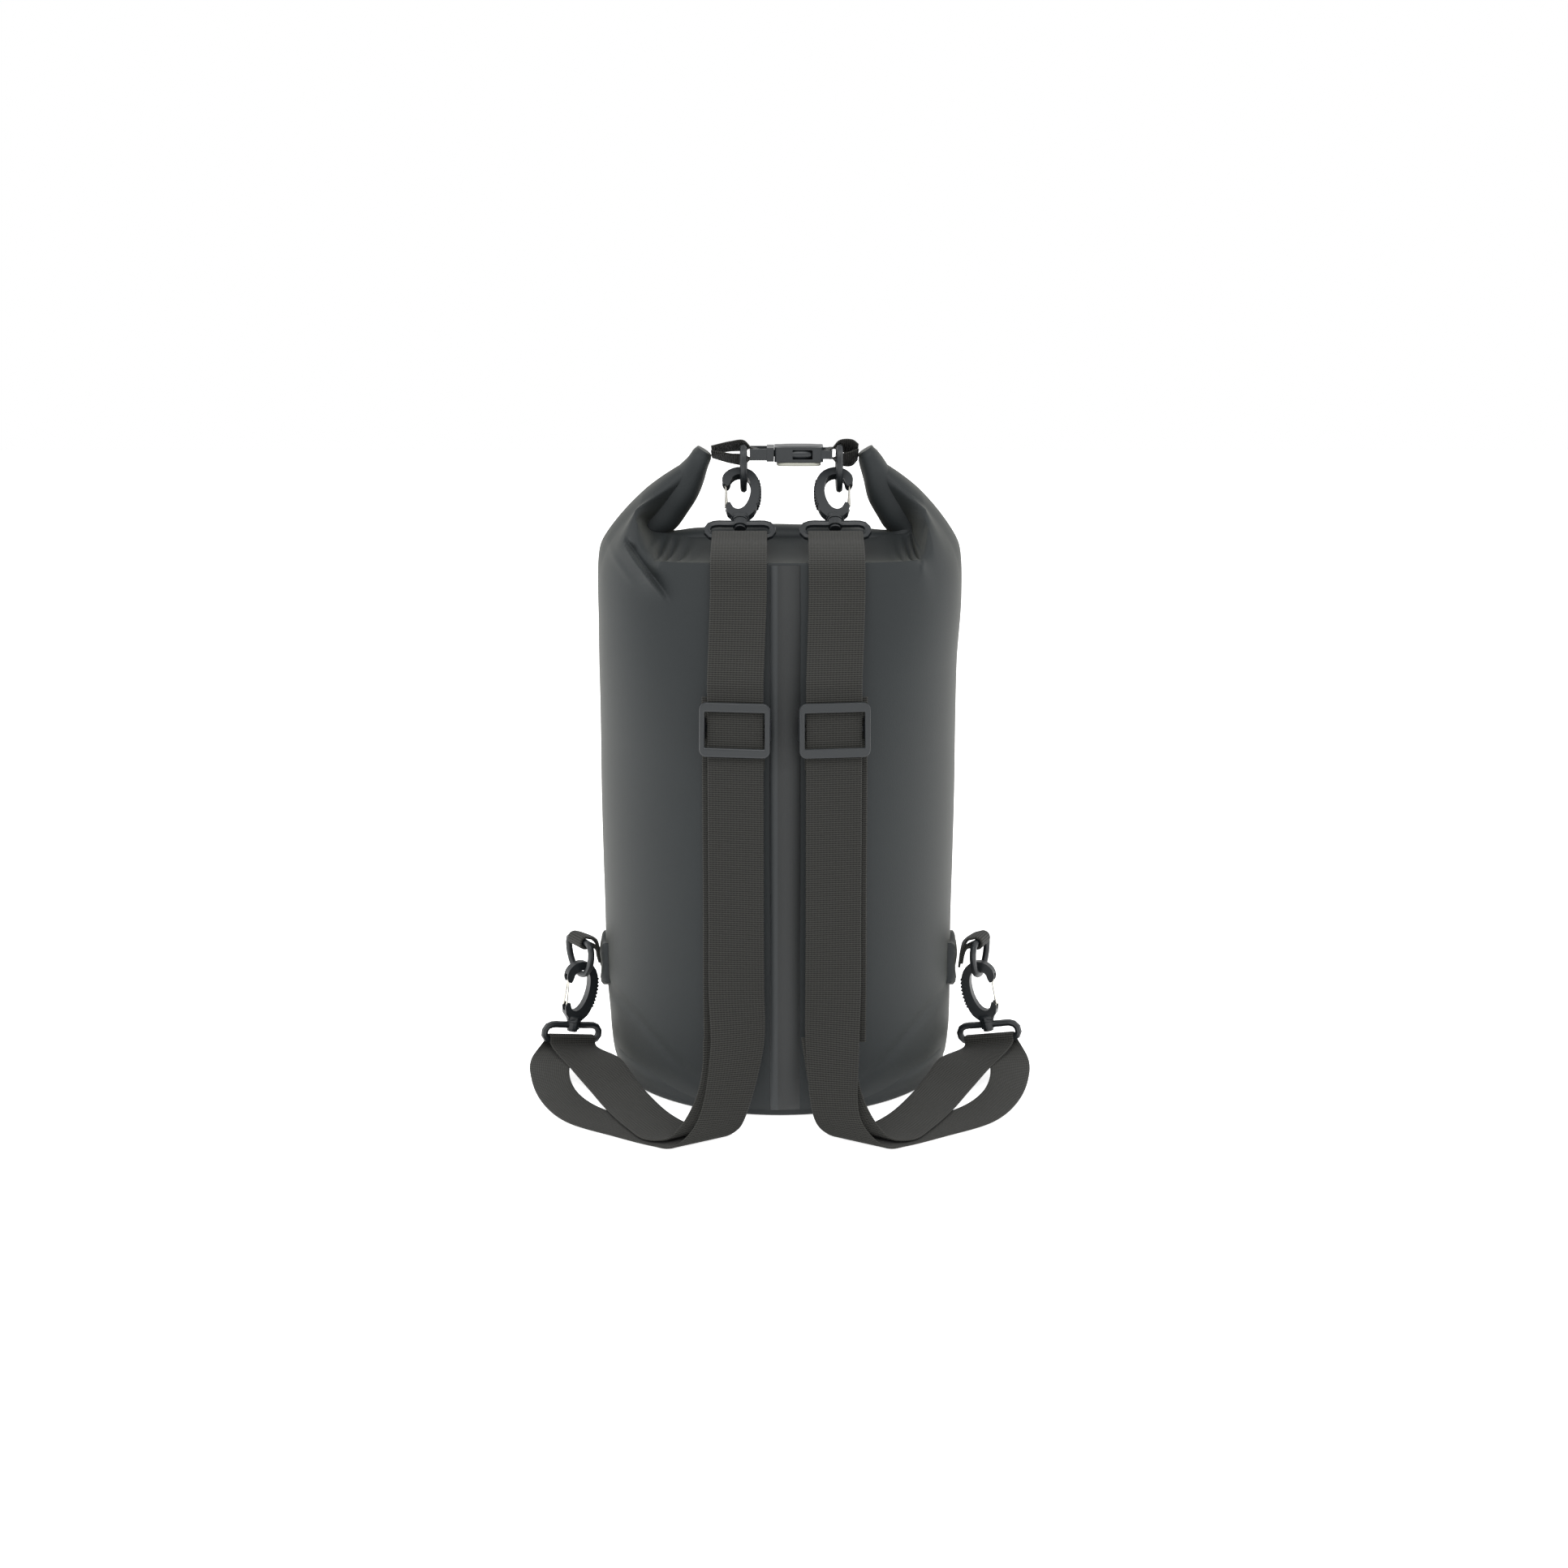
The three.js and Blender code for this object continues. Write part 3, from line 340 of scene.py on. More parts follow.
# ---- rolled mouth --------------------------------------------------------
# The mouth is rolled round a stiff strip into a flat bundle of the same
# fabric, 33 mm deep. Both ends bend up as ears and taper to cut tips.
ROLL_STEPS = 150
SECTION = 72
ROLL_ROWS = [  # X, Z, half height in the X-Z plane, half depth, of the left half
    (-53.3, 452.6, 5.6, 10.5), (-55.4, 449.2, 6.8, 13.5), (-61.5, 438.5, 9.8, 15.5), (-71.5, 423, 12.6, 16),
    (-83, 408.5, 13.2, 16), (-92, 397, 10.5, 16), (-82, 388.8, 8, 16), (-60, 389.6, 7.6, 16),
    (-30, 391.4, 8.0, 16), (0, 392.2, 8.3, 16),
]
left_rows = [np.array(r) for r in ROLL_ROWS]
right_rows = [
    np.array([-x + EAR_SHIFT * float(smooth(z, 396, 452)), z + 0.4, tall, deep])
    for x, z, tall, deep in reversed(ROLL_ROWS[:-1])
]
centre_line = spline([(r[0], r[1], 0) for r in left_rows + right_rows], ROLL_STEPS)
sizes = spline([(r[2], r[3], 0) for r in left_rows + right_rows], ROLL_STEPS)


def shade(piece, angle=35):
    """Smooth shading that keeps edges sharper than the angle."""
    piece.data.set_sharp_from_angle(angle=math.radians(angle))
    return piece


roll_points = []
for i, (x, z, _) in enumerate(centre_line):
    a, b = centre_line[max(i - 1, 0)], centre_line[min(i + 1, ROLL_STEPS - 1)]
    along = np.array([b[0] - a[0], 0, b[1] - a[1]])
    along /= np.linalg.norm(along)
    up = np.array([-along[2], 0, along[0]])
    for j in range(SECTION):
        angle = 2 * math.pi * j / SECTION
        # a flattened spiral: the radius steps in where the outer layer ends
        step = 1.1 * (j / SECTION - 0.5)
        c, d = math.cos(angle), math.sin(angle)
        tall = (sizes[i][0] + step) * np.sign(c) * abs(c) ** 0.85
        deep = (sizes[i][1] + step) * np.sign(d) * abs(d) ** 0.75
        dent = 0.5 * math.sin(i * 0.35 + 2.5 * d) * math.sin(i * 0.13)
        roll_points.append(np.array([x, 0, z]) + up * (tall + dent * c) + np.array([0, deep + dent * d, 0]))
roll_faces = grid_faces(ROLL_STEPS, SECTION, wrap=True)
last_ring = (ROLL_STEPS - 1) * SECTION
roll_faces += [tuple(range(SECTION)), tuple(last_ring + j for j in reversed(range(SECTION)))]
roll = mesh_piece("mouth_roll", roll_points, roll_faces, coated_fabric)
facing_out(roll)
shade(roll, 50)
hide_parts("closure_roll", "mouth_stiffener")

# ---- seam tape -----------------------------------------------------------
# A strip of coated tape, 20.6 mm wide, welded over the tube's one seam. It runs
# down the front wall between the straps. Its left part, where the cloth laps
# under it, stands out 0.4 mm more and carries a painted highlight: it is painted paler.
TAPE_SECTION = [  # X, and how far the tape stands off the wall
    (-6.6, 0.15), (-6.0, 0.95), (-1.4, 1.0), (-0.9, 0.65), (4, 0.6), (13.4, 0.6), (14, 0.15),
]
tape_finish, tree, bsdf = material("welded_seam_tape", Roughness=0.55)
bsdf.inputs["Sheen Weight"].default_value = 0.08
place = node(tree, "ShaderNodeTexCoord").outputs["Object"]
across = node(tree, "ShaderNodeSeparateXYZ", [("Vector", place)]).outputs["X"]
# painted highlight: the tape is painted paler left of X = -1.8 mm, fading to its darker tone by -0.9 mm
painted_highlight_band = node(tree, "ShaderNodeMapRange", [("Value", across)], From_Min=-0.0018, From_Max=-0.0009)
tone = node(tree, "ShaderNodeMix", [("Factor", painted_highlight_band.outputs["Result"])], data_type="RGBA")
tone.inputs["A"].default_value = linear("#262a2c")
tone.inputs["B"].default_value = linear("#16191a")
tree.links.new(tone.outputs["Result"], bsdf.inputs["Base Color"])
tape_points = []
tape_z = np.linspace(5, FOLD_HEIGHT - 1.5, 120)
for z in tape_z:
    a, b, n = wall_outline(z)
    for x, lift in TAPE_SECTION:
        y = -b * (1 - abs(x / a) ** n) ** (1 / n)
        tape_points.append((x, y - lift, z))
tape = mesh_piece("seam_strip", tape_points, grid_faces(len(tape_z), len(TAPE_SECTION)), tape_finish)
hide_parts("seam_tape")

# ---- webbing -------------------------------------------------------------
# Black polypropylene webbing, matt, woven with ribs across its width. The
# ribs are 1.1 mm apart in the strap; they are drawn at 1.5 mm, and the lines
# along it at 2 mm, because finer ones are lost at this size.
WEBBING = 1.4  # thickness
RIB_PITCH = 1.5
LINE_PITCH = 2.0
webbing_finish, tree, bsdf = material("woven_polypropylene_webbing", Roughness=0.82)
bsdf.inputs["Specular IOR Level"].default_value = 0.25
bsdf.inputs["Sheen Weight"].default_value = 0.06
run = node(tree, "ShaderNodeUVMap", uv_map="run").outputs["UV"]
parts = node(tree, "ShaderNodeSeparateXYZ", [("Vector", run)])


def stripes(tree, coordinate, pitch):
    """A 0-1 sine across a coordinate in millimetres."""
    scaled = node(tree, "ShaderNodeMath", [(0, coordinate)], operation="MULTIPLY")
    scaled.inputs[1].default_value = 2 * math.pi / pitch
    wave = node(tree, "ShaderNodeMath", [(0, scaled.outputs[0])], operation="SINE")
    half = node(tree, "ShaderNodeMath", [(0, wave.outputs[0])], operation="MULTIPLY_ADD")
    half.inputs[1].default_value = 0.5
    half.inputs[2].default_value = 0.5
    return half.outputs[0]


ribs = stripes(tree, parts.outputs["Y"], RIB_PITCH)
lines = stripes(tree, parts.outputs["X"], LINE_PITCH)
weave = node(tree, "ShaderNodeMath", [(0, lines), (2, ribs)], operation="MULTIPLY_ADD")
weave.inputs[1].default_value = 0.35
# painted light and shade: the crests of the ribs and lines are painted paler and the grooves darker, on top
# of the bump
colour = node(tree, "ShaderNodeMix", [("Factor", weave.outputs[0])], data_type="RGBA")
colour.inputs["A"].default_value = linear("#111110")
colour.inputs["B"].default_value = linear("#3a3a37")
tree.links.new(colour.outputs["Result"], bsdf.inputs["Base Color"])
relief = node(tree, "ShaderNodeBump", [("Height", weave.outputs[0])], Strength=0.7, Distance=0.0004)
tree.links.new(relief.outputs["Normal"], bsdf.inputs["Normal"])


def ribbon(name, left, right, steps, thickness=WEBBING, width_steps=10):
    """A woven band between two edge curves, with rounded woven edges; uv runs in millimetres."""
    a, b = spline(left, steps + 1), spline(right, steps + 1)
    middle = (a + b) / 2
    width = np.linalg.norm(b - a, axis=1).mean()
    length = np.concatenate([[0], np.cumsum(np.linalg.norm(np.diff(middle, axis=0), axis=1))])
    inner = list(np.linspace(0.16, 0.84, width_steps))
    across = [0.0, 0.012, 0.045, 0.09] + inner + [0.91, 0.955, 0.988, 1.0]
    thick = [0.18, 0.7, 1.0, 0.94] + [0.97] * width_steps + [0.94, 1.0, 0.7, 0.18]
    upper = [(u, t / 2) for u, t in zip(across, thick)]
    profile = upper + [(u, -t) for u, t in reversed(upper)]
    points, uv = [], []
    for i in range(steps + 1):
        along = middle[min(i + 1, steps)] - middle[max(i - 1, 0)]
        normal = np.cross(along, b[i] - a[i])
        normal /= np.linalg.norm(normal)
        for u, t in profile:
            points.append(a[i] + (b[i] - a[i]) * u + normal * t * thickness)
            uv.append((u * width, length[i]))
    count = len(profile)
    faces = grid_faces(steps + 1, count, wrap=True)
    faces += [tuple(range(count)), tuple(steps * count + j for j in reversed(range(count)))]
    piece = mesh_piece(name, points, faces, webbing_finish, uv=uv)
    facing_out(piece)
    shade(piece, 60)
    piece["run_mm"] = float(length[-1])
    return piece


# ---- where the swivel loops, hooks and rings sit ---------------------------
# Each strap is clipped on at both ends: its top hook hangs in a ring on the
# handle's webbing, and its lower hook in a ring on the side of the bag. The
# two sides differ by a few millimetres, so each has its own places.
GAP = 0.3  # play round each bar
# X of the strap's top and lower end, the handle's ring, the buckle's bar, the
# side ring's bar and the ear's tip; turn is the lower hook's, in degrees
SIDES = {
    "left": dict(hand=-1, top_x=-27.5, low_x=-29.5, ring_x=-25.5, bar_x=-17.5,
                 turn=33, anchor_x=-147.5, tip_x=-54),
    "right": dict(hand=1, top_x=38.5, low_x=36.5, ring_x=42, bar_x=34.6,
                  turn=-22, anchor_x=147.5, tip_x=61),
}
RING_DEPTH = 26.0  # from the side ring's bar down to its bow
ROD = 2.6  # radius of the bars that the straps are sewn round
LOOP_HALF_HEIGHT = 5.9
LOOP_WRAP = ROD + 2.6 * GAP + WEBBING / 2
HOOK_REACH = 39.2  # from the swivel to where the ring's bow hangs
LEAN = math.radians(12)
RING_Y = -16.0  # the side ring's bar
RING_Z = 96.0
TOP_LOOP_Y = -41.2
TOP_LOOP_Z = 404.8
TOP_LEAN = math.radians(45)


def top_place(side):
    """Frame of the top hook and its loop: origin at the swivel, hook along +Z."""
    swivel = Matrix.Translation((side["top_x"], TOP_LOOP_Y, TOP_LOOP_Z))
    return swivel @ Matrix.Rotation(-TOP_LEAN, 4, "X")


def lower_place(side):
    """Frame of the lower hook, which hangs from the side ring and leans in to the bag."""
    turn = Matrix.Rotation(math.radians(side["turn"]), 4, "Z")
    turn = turn @ Matrix.Rotation(-side["hand"] * LEAN, 4, "Y")
    eye = turn @ Vector((side["hand"], 0, HOOK_REACH))
    bow = Vector((side["anchor_x"], RING_Y, RING_Z - RING_DEPTH))
    return Matrix.Translation(bow - eye) @ turn


# ---- shoulder straps -----------------------------------------------------
# Two lengths of 38 mm webbing, each sewn round its top loop's bar. It runs
# down the wall through a slider, out along the floor, over the lower loop's
# bar and back, and comes up behind itself to the slider.
STRAP_WIDTH = 38.0
STRAP_TILT = math.radians(8)
STRAIGHT_TOP = (302, -127)  # Z, Y where the straight stretch down the wall starts
STRAIGHT_END = (150, -135.5)
SLIDER_Z = 277.0


def on_straight(z):
    """Y of the strap's straight stretch at a height."""
    (top, y_top), (end, y_end) = STRAIGHT_TOP, STRAIGHT_END
    return y_top + (y_end - y_top) * (top - z) / (top - end)


def edges(side, rows):
    """Outer and inner edge points of a strap's band from rows of x, y, z, turn."""
    out = []
    for u in (STRAP_WIDTH / 2, -STRAP_WIDTH / 2):
        across = side["hand"] * u
        out.append([(x + across * math.cos(r), y + u * math.sin(r), z) for x, y, z, r in rows])
    return out


def upper_rows(side):
    """Middle line of the strap from its sewn end to the turn towards the floor."""
    by = TOP_LOOP_Y - 2 * LOOP_HALF_HEIGHT * math.sin(TOP_LEAN)
    bz = TOP_LOOP_Z - 2 * LOOP_HALF_HEIGHT * math.cos(TOP_LEAN)
    r, x, low = LOOP_WRAP, side["top_x"], side["low_x"]
    rows = [
        (x, by - 30, bz - 6.2, 0), (x, by - 16, bz - 4.4, 0), (x, by - 3, bz - r - 0.4, 0),
        (x, by + r * 0.6, bz - r * 0.8, 0), (x, by + r, bz, 0), (x, by + r * 0.6, bz + r * 0.8, 0),
        (x, by - 3, bz + r - 0.1, 0), (x, by - 18, bz + 0.4, 0), (x, by - 34, bz - 2.6, 0),
        (x, -100, 384, 0.02), (x, -106.5, 366, 0.06),
        (x * 0.45 + low * 0.55, -117.6, 333, STRAP_TILT * 0.7),
    ]
    for t in (-0.04, 0, 0.07, 0.2, 0.4, 0.6, 0.8, 1, 1.08):
        z = STRAIGHT_TOP[0] + (STRAIGHT_END[0] - STRAIGHT_TOP[0]) * t
        rows.append((low, on_straight(z), z, STRAP_TILT))
    return rows + [(low, -138.5, 100, 0), (low - side["hand"] * 0.5, -144, 58, -0.3)]


def lower_edges(side):
    """Outer and inner edge from the turn on the floor back to the slider's second layer."""
    place, r, bz = lower_place(side), LOOP_WRAP, -2 * LOOP_HALF_HEIGHT
    h = side["hand"]

    def wrap(u):
        ring = [
            (r + 0.8, bz - 1.5), (r * 0.72, bz + r * 0.72), (0, bz + r),
            (-r * 0.72, bz + r * 0.72), (-r - 0.8, bz - 1.5),
        ]
        return [tuple(place @ Vector((h * u, n, z))) for n, z in ring]

    outer = [(54.5, -166, 17), (64, -178, 6), (74, -183.5, 1.6), (86, -178, 0.9), (113, -161, 0.9),
             (148, -135, 0.9), (168, -101, 1.4), (180, -64, 5), (183, -36, 11)]
    outer_back = [(149, -66, 11.5), (135, -91, 6.5), (121, -120, 3.6), (104, -153, 3.1), (91, -172, 3),
                  (76, -176.5, 5.2), (68, -169.5, 10.5), (61.5, -160.5, 18), (56, -151, 29),
                  (53, -141.5, 44), (52.6, -136.5, 62)]
    inner = [(23, -151, 12), (28, -158, 5), (36, -161, 1.6), (48, -154, 1), (78, -139, 1),
             (123, -114, 1.6), (144, -89, 4.6), (152, -67, 9.5), (152, -47, 15)]
    inner_back = [(116, -53, 17), (104.5, -79, 13), (92, -107, 10), (74, -137, 6.5), (58, -151, 4.6),
                  (41, -154, 5), (32, -152, 10), (25.5, -147.5, 18), (20, -142, 31),
                  (17, -136.5, 48), (14.8, -134, 62)]

    def mirror(line):
        return [(h * x, y, z) for x, y, z in line]

    half = STRAP_WIDTH / 2
    outer_edge = mirror(outer) + wrap(half) + mirror(outer_back)
    inner_edge = mirror(inner) + wrap(-half) + mirror(inner_back)
    return outer_edge, inner_edge


for name, side in SIDES.items():
    upper_out, upper_in = edges(side, upper_rows(side))
    low_out, low_in = lower_edges(side)
    strap = ribbon(f"strap_band_{name}", upper_out + low_out, upper_in + low_in, 520)
    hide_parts(f"shoulder_strap_{name}")
    x, h = side["low_x"] + side["hand"] * 4, side["hand"]
    back_out, back_in = edges(side, [
        (x, on_straight(SLIDER_Z + 20) + 9.4, SLIDER_Z + 20, STRAP_TILT),
        (x, on_straight(200) + 9.4, 200, STRAP_TILT), (x, on_straight(150) + 8.8, 150, STRAP_TILT),
        (x, -129.5, 100, 0.03), (x - h * 0.3, -135.2, 60, -0.08),
    ])
    back = ribbon(f"strap_second_layer_{name}", back_out, back_in, 90)
    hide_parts(f"strap_return_{name}")
    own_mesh(back)

# ---- hooks, loops, rings and sliders ---------------------------------------
# They are injection-moulded in black acetal, with a fine spark-eroded grain
# that gives a low, even shine. Each hook's gate is one bent, bright steel wire.
moulded, tree, bsdf = material("injection_moulded_acetal", Base_Color=linear("#1c2023"), Roughness=0.4)
bsdf.inputs["Specular IOR Level"].default_value = 0.5
place = node(tree, "ShaderNodeTexCoord").outputs["Object"]
# the grain is about 0.1 mm in the mould and is drawn at 1.1 mm so that it shows
grain = node(tree, "ShaderNodeTexNoise", [("Vector", place)], Scale=900.0, Detail=2.0)
relief = node(tree, "ShaderNodeBump", [("Height", grain.outputs[0])], Strength=0.08, Distance=0.0003)
tree.links.new(relief.outputs["Normal"], bsdf.inputs["Normal"])
gate_steel, _, _ = material(
    "drawn_stainless_wire", Base_Color=linear("#d0cdc4"), Roughness=0.22, Metallic=1.0)


def hook_place(side, level):
    """Frame of a snap hook: spine on +X, eye on +Z."""
    place = top_place(side) if level == "top" else lower_place(side)
    return place @ Matrix.Rotation(math.pi if side["hand"] > 0 else 0, 4, "Z")


def rod(line, radius, sides=10):
    """Points and faces of a round bar with closed ends along points in millimetres."""
    line = np.asarray(line, float)
    points = []
    for i in range(len(line)):
        along = line[min(i + 1, len(line) - 1)] - line[max(i - 1, 0)]
        along /= np.linalg.norm(along)
        u = np.cross(along, (0.31, 0.83, 0.46))
        u /= np.linalg.norm(u)
        v = np.cross(along, u)
        for k in range(sides):
            a = 2 * math.pi * k / sides
            points.append(line[i] + radius * (u * math.cos(a) + v * math.sin(a)))
    faces = grid_faces(len(line), sides, wrap=True)
    faces += [tuple(range(sides)), tuple((len(line) - 1) * sides + j for j in reversed(range(sides)))]
    return points, faces


def pillow(centre, half, power=3.0, steps=20):
    """Points and faces of a box with full round corners: a superellipsoid."""
    points = []
    for i in range(steps + 1):
        up = -math.pi / 2 + math.pi * i / steps
        for j in range(2 * steps):
            turn = math.pi * j / steps
            d = (math.cos(up) * math.cos(turn), math.cos(up) * math.sin(turn), math.sin(up))
            length = sum(abs(v) ** power for v in d) ** (1 / power)
            points.append([c + h * v / length for c, h, v in zip(centre, half, d)])
    return points, grid_faces(steps + 1, 2 * steps, wrap=True)


def add_to(piece, points, faces):
    """Adds closed geometry, in millimetres, to a piece's own mesh."""
    work = bmesh.new()
    work.from_mesh(piece.data)
    made = [work.verts.new(tuple(np.asarray(p, float) * MM)) for p in points]
    for face in faces:
        work.faces.new([made[k] for k in face]).smooth = True
    bmesh.ops.remove_doubles(work, verts=made, dist=1e-7)
    bmesh.ops.recalc_face_normals(work, faces=work.faces)
    work.to_mesh(piece.data)
    work.free()


def softened(node_name, name, body, width, segments=3, angle=30, finish=moulded):
    """A copy of a CAD piece with its edges rounded by width, in millimetres."""
    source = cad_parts[node_name]
    data = source.data.copy()
    data.name = name
    data.materials.clear()
    data.materials.append(finish)
    piece = bpy.data.objects.new(name, data)
    bpy.context.scene.collection.objects.link(piece)
    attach(piece, body)
    work = bmesh.new()
    work.from_mesh(data)
    bmesh.ops.remove_doubles(work, verts=work.verts, dist=1e-6)
    bmesh.ops.dissolve_limit(work, angle_limit=math.radians(2), verts=work.verts, edges=work.edges)
    work.to_mesh(data)
    work.free()
    bevel = piece.modifiers.new("edge", "BEVEL")
    bevel.width = width * MM
    bevel.segments = segments
    bevel.limit_method = "ANGLE"
    bevel.angle_limit = math.radians(angle)
    bevel.use_clamp_overlap = True
    piece.data.polygons.foreach_set("use_smooth", [True] * len(piece.data.polygons))
    shade(piece, 40)
    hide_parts(node_name)
    return piece


SPINE = [(12.2, 0, 15.5), (13.4, 0, 20), (14, 0, 25.5), (13.9, 0, 31), (13, 0, 36.5)]
THUMB_RIBS = 9
GATE_RADIUS = 0.7
GATE_LEGS = [  # one bent wire, from the foot of one leg over the nose to the foot of the other
    (-8.6, -1.1, 13.2), (-9.4, -1.2, 21), (-10.5, -1.1, 33), (-10.6, -0.6, 34.2),
    (-10.5, 0.6, 34.2), (-10.3, 1.1, 33), (-10.2, 1.2, 21), (-10.4, 1.1, 15.4),
]
for name, side in SIDES.items():
    for level in ("top", "lower"):
        hook = softened(f"{level}_hook_{name}", f"{level}_snap_hook_{name}", f"{level}_hook_{name}", 1.1)
        place = hook_place(side, level)
        # nine thumb ribs on the back of the spine, and a round collar over the swivel
        for rib in spline(SPINE, THUMB_RIBS):
            ends = [place @ Vector((rib[0] - 0.15, y, rib[2])) for y in (-3.0, 3.0)]
            add_to(hook, *rod(ends, 0.85, 8))
        collar, collar_faces = pillow((0, 0, 5.6), (6.2, 5.2, 2.8), 2.6, 8)
        add_to(hook, [tuple(place @ Vector(point)) for point in collar], collar_faces)
        softened(f"{level}_swivel_loop_{name}", f"{level}_loop_{name}", "root", 0.6)
        wire_points, wire_faces = rod([place @ Vector(p) for p in spline(GATE_LEGS, 60)], GATE_RADIUS)
        wire = mesh_piece(f"{level}_wire_gate_{name}", wire_points, wire_faces, gate_steel,
                          body=f"{level}_gate_{name}")
        facing_out(wire)
        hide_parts(f"{level}_gate_{name}")
    for ring in ("top_d_ring", "side_d_ring"):
        softened(f"{ring}_{name}", f"{ring}_moulded_{name}", f"{ring}_{name}", 0.5, 2, 50)
    softened(f"slider_{name}", f"slider_moulded_{name}", f"slider_{name}", 1.4, 4)

# ---- side-release buckle ---------------------------------------------------
# A moulded socket with a crowned top and a web between the prongs, a plug, and
# two prongs with oval thumb buttons. Its underside is a paler, plain acetal.
HANDLE_HEIGHT = 450.5
pale_plastic, _, _ = material("moulded_pale_acetal", Base_Color=linear("#b6b6aa"), Roughness=0.5)
socket = softened("buckle_socket", "buckle_socket_moulded", "root", 1.5, 4)
add_to(socket, *pillow((13.5, 0, HANDLE_HEIGHT + 4.9), (16, 14.5, 1.1), 3.5))
add_to(socket, *pillow((23.3, 0, HANDLE_HEIGHT), (4.4, 1.2, 3.6), 8))
softened("buckle_plug", "buckle_plug_moulded", "root", 0.6)
for where, hand in (("front", -1), ("rear", 1)):
    prong = softened(f"buckle_prong_{where}", f"prong_moulded_{where}", f"prong_{where}", 0.8)
    add_to(prong, *pillow((14.6, hand * 14.6, HANDLE_HEIGHT), (8.2, 2.7, 3.1), 2.3))
under_points, under_faces = pillow((13.4, 0, HANDLE_HEIGHT - 6.7), (15.6, 16.3, 1.5), 7, 28)
underside = mesh_piece("buckle_underside_moulded", under_points, under_faces, pale_plastic)
facing_out(underside)
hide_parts("buckle_socket_underside")

# ---- handle webbing and strap ends ----------------------------------------
# Webbing of 25 mm runs from each ear over the ring's bar, round the buckle's
# bar and back. Each strap's own end is sewn round its slider's middle bar.
HANDLE_WIDTH = 25.0
BUCKLE_BAR = 1.7
RING_TILT = math.radians(20)
for name, side in SIDES.items():
    h, x, ring, z = side["hand"], side["bar_x"], side["ring_x"], HANDLE_HEIGHT
    wrap = BUCKLE_BAR + GAP + WEBBING / 2
    start = side["tip_x"] - h * 5.8
    twist = 0.5 if h > 0 else 0.34  # the right one turns its face to the front
    rows = [
        (start, 453.2 - twist, twist * 0.8), (ring + h * 9, 456.6 - 4 * twist, twist),
        (ring, 455.9, RING_TILT), (x + h * 3, z + wrap + 1.1, 0.08),
        (x, z + wrap, 0), (x - h * wrap * 0.72, z + wrap * 0.72, 0), (x - h * wrap, z, 0),
        (x - h * wrap * 0.72, z - wrap * 0.72, 0), (x, z - wrap, 0), (x + h * 3, z - wrap - 0.8, 0.08),
        (ring, 446, RING_TILT), (ring + h * 9, 446.8, twist), (start, 450.2 - twist, twist * 0.8),
    ]
    half = HANDLE_WIDTH / 2
    line = [[(px, u * math.cos(r), pz - u * math.sin(r)) for px, pz, r in rows] for u in (-half, half)]
    handle = ribbon(f"handle_webbing_{name}", line[0], line[1], 140, width_steps=6)
    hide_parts(f"closure_webbing_{name}")

for name in SIDES:
    end = softened(f"strap_end_{name}", f"strap_end_cloth_{name}", f"slider_{name}", 0.3, 2,
                   finish=webbing_finish)

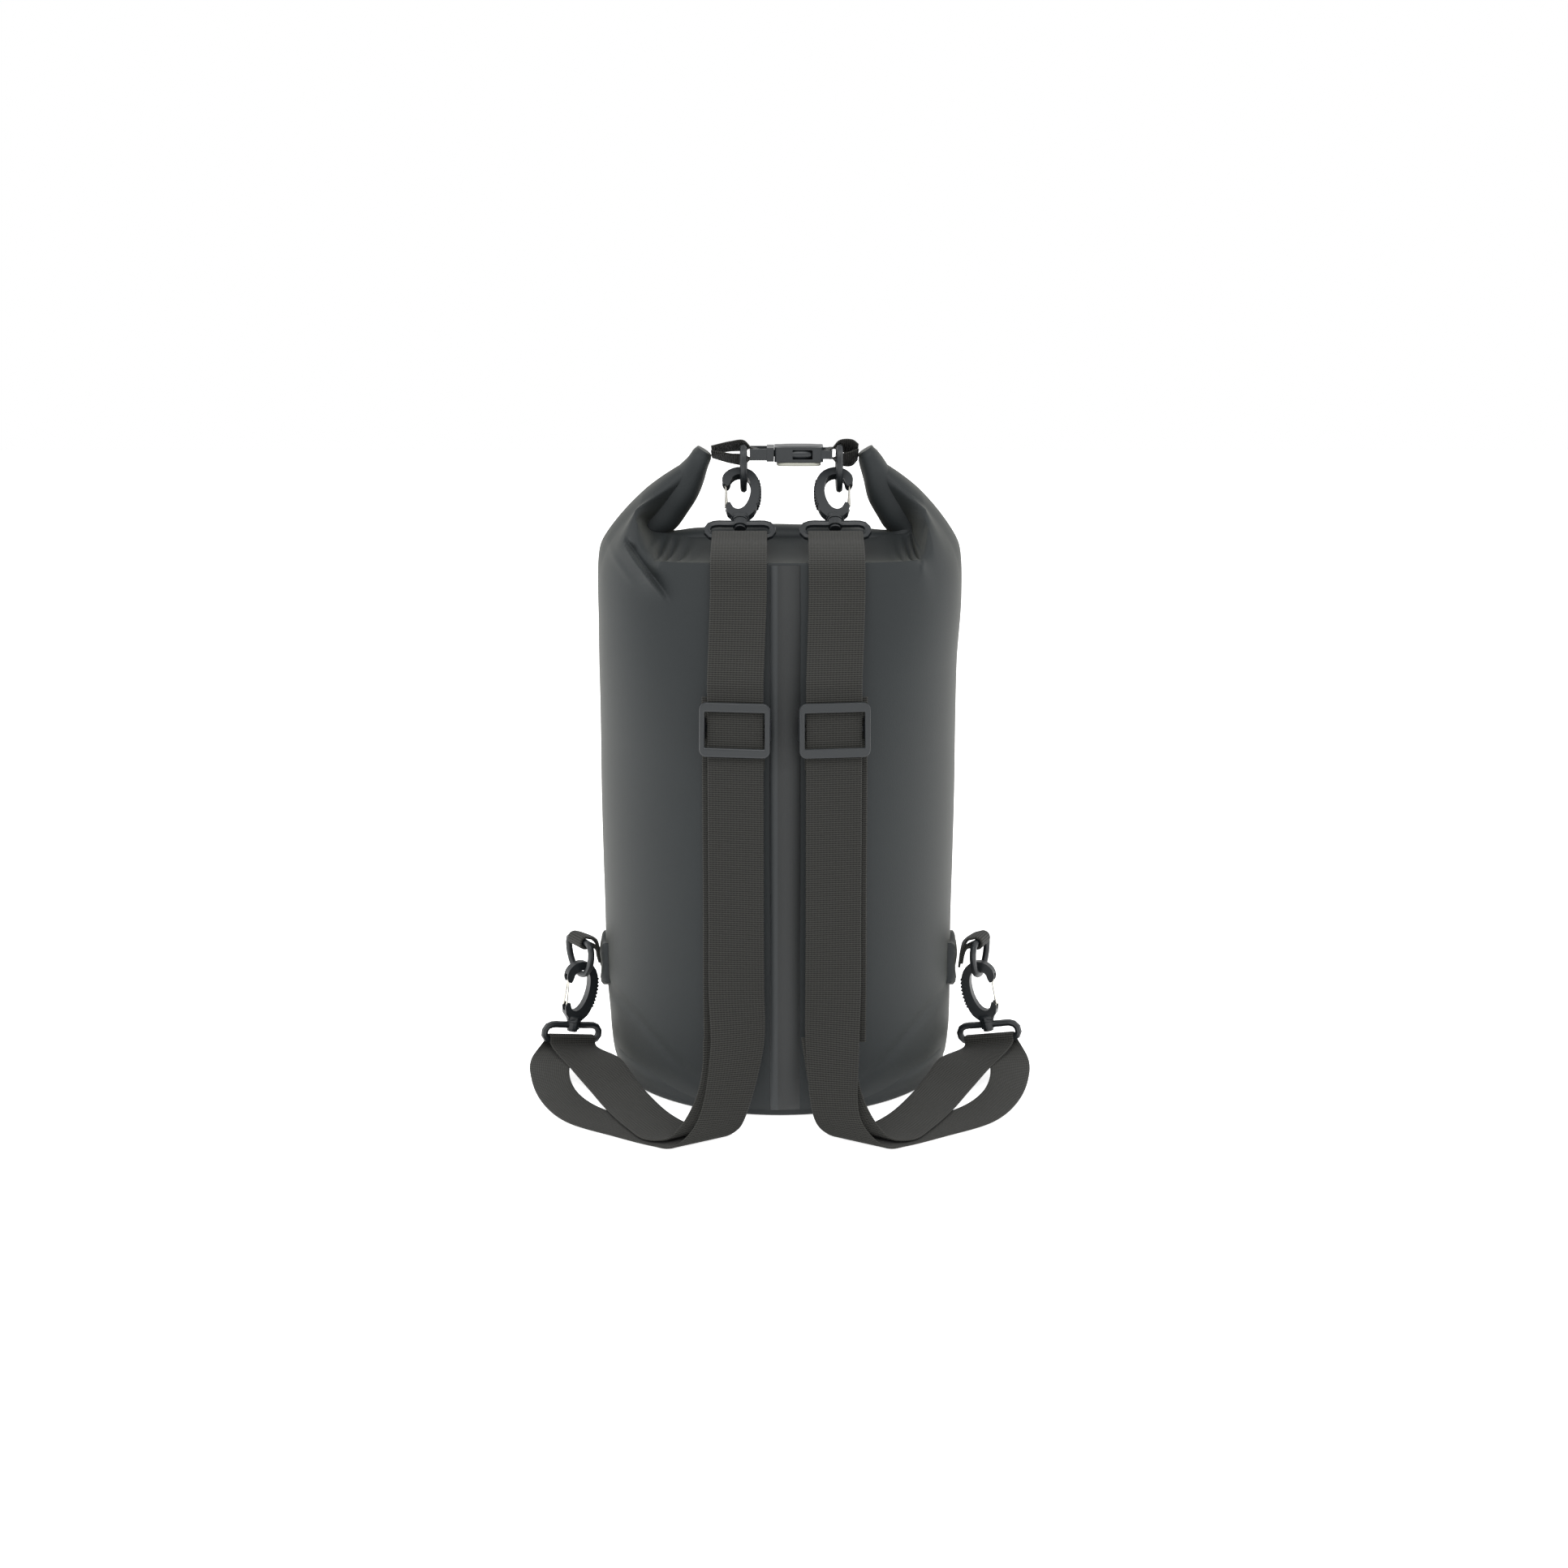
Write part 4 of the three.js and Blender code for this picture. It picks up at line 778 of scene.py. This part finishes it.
# ---- side anchors --------------------------------------------------------
# A padded patch of the bag's fabric, 39 mm wide and 37 mm tall, is welded to
# each side of the wall. A doubled 20 mm webbing tab holds the side ring on it.
PATCH_STEPS = 25
PATCH_Y = -12.0
PATCH_HALF_WIDTH = 19.5
PATCH_TOP = 97.5
TAB_FOOT = 131.7  # how far from the bag's middle the tab's path starts
TAB_WIDTH = 20.0
WALL_RADIUS = {"left": 129.2, "right": 126.9}  # of the wall under each patch
for name, side in SIDES.items():
    h = side["hand"]
    points = []
    for layer in (0, 1):
        for i in range(PATCH_STEPS):
            for j in range(PATCH_STEPS):
                u, v = 2 * i / (PATCH_STEPS - 1) - 1, 2 * j / (PATCH_STEPS - 1) - 1
                y = PATCH_Y + PATCH_HALF_WIDTH * u
                low = 61 + 7 * abs(u) ** 1.5
                z = low + (PATCH_TOP - low) * (v + 1) / 2 + 1.1 * math.sin(4.2 * u) * smooth(v, 0.4, 1)
                rim = smooth(1 - max(abs(u), abs(v)), 0, 0.16)
                weld = math.exp(-((abs(v) - 0.8) / 0.07) ** 2)  # a pressed line near both ends
                proud = 2.0 + 2.3 * rim + 0.5 * math.sin(5 * v + 2 * u) - 0.7 * weld
                radius = WALL_RADIUS[name] + (proud if layer else -1.0)
                points.append((h * math.sqrt(radius ** 2 - y ** 2), y, z))
    n, last, layer_size = PATCH_STEPS, PATCH_STEPS - 1, PATCH_STEPS ** 2
    faces = grid_faces(n, n) + grid_faces(n, n, offset=layer_size)
    border = list(range(n)) + [n * i + last for i in range(1, n)]
    border += [n * last + j for j in range(last - 1, -1, -1)] + [n * i for i in range(last - 1, 0, -1)]
    faces += [(a, b, b + layer_size, a + layer_size) for a, b in zip(border, border[1:] + border[:1])]
    patch = mesh_piece(f"side_patch_cloth_{name}", points, faces, coated_fabric)
    facing_out(patch)
    shade(patch, 55)
    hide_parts(f"side_patch_{name}")

    turn = math.radians(side["turn"])
    r, bar_z = LOOP_WRAP, RING_Z
    reach = (abs(side["anchor_x"]) - TAB_FOOT) / math.cos(turn)
    path = [  # distance out from the patch, height
        (1.6, 76), (2.6, 84), (4.6, 91), (reach - r * 1.7, bar_z + 1.6), (reach - r * 0.72, bar_z + r * 0.8),
        (reach, bar_z + r), (reach + r * 0.72, bar_z + r * 0.72), (reach + r, bar_z),
        (reach + r * 0.72, bar_z - r * 0.72), (reach, bar_z - r), (reach - r * 1.2, bar_z - r * 0.9),
        (reach * 0.55, bar_z - r * 1.2), (4.8, 86), (3.6, 79),
    ]
    tab_edges = []
    for u in (-TAB_WIDTH / 2, TAB_WIDTH / 2):
        line = []
        for out, z in path:
            bend = turn * (0.3 if out < 5 else 1)
            inward = h * (out - reach)
            line.append((side["anchor_x"] + inward * math.cos(turn) - u * math.sin(bend),
                         RING_Y + inward * math.sin(turn) + u * math.cos(bend), z))
        tab_edges.append(line)
    tab = ribbon(f"side_tab_cloth_{name}", *tab_edges, 90, thickness=1.9, width_steps=6)
    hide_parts(f"side_tab_{name}")
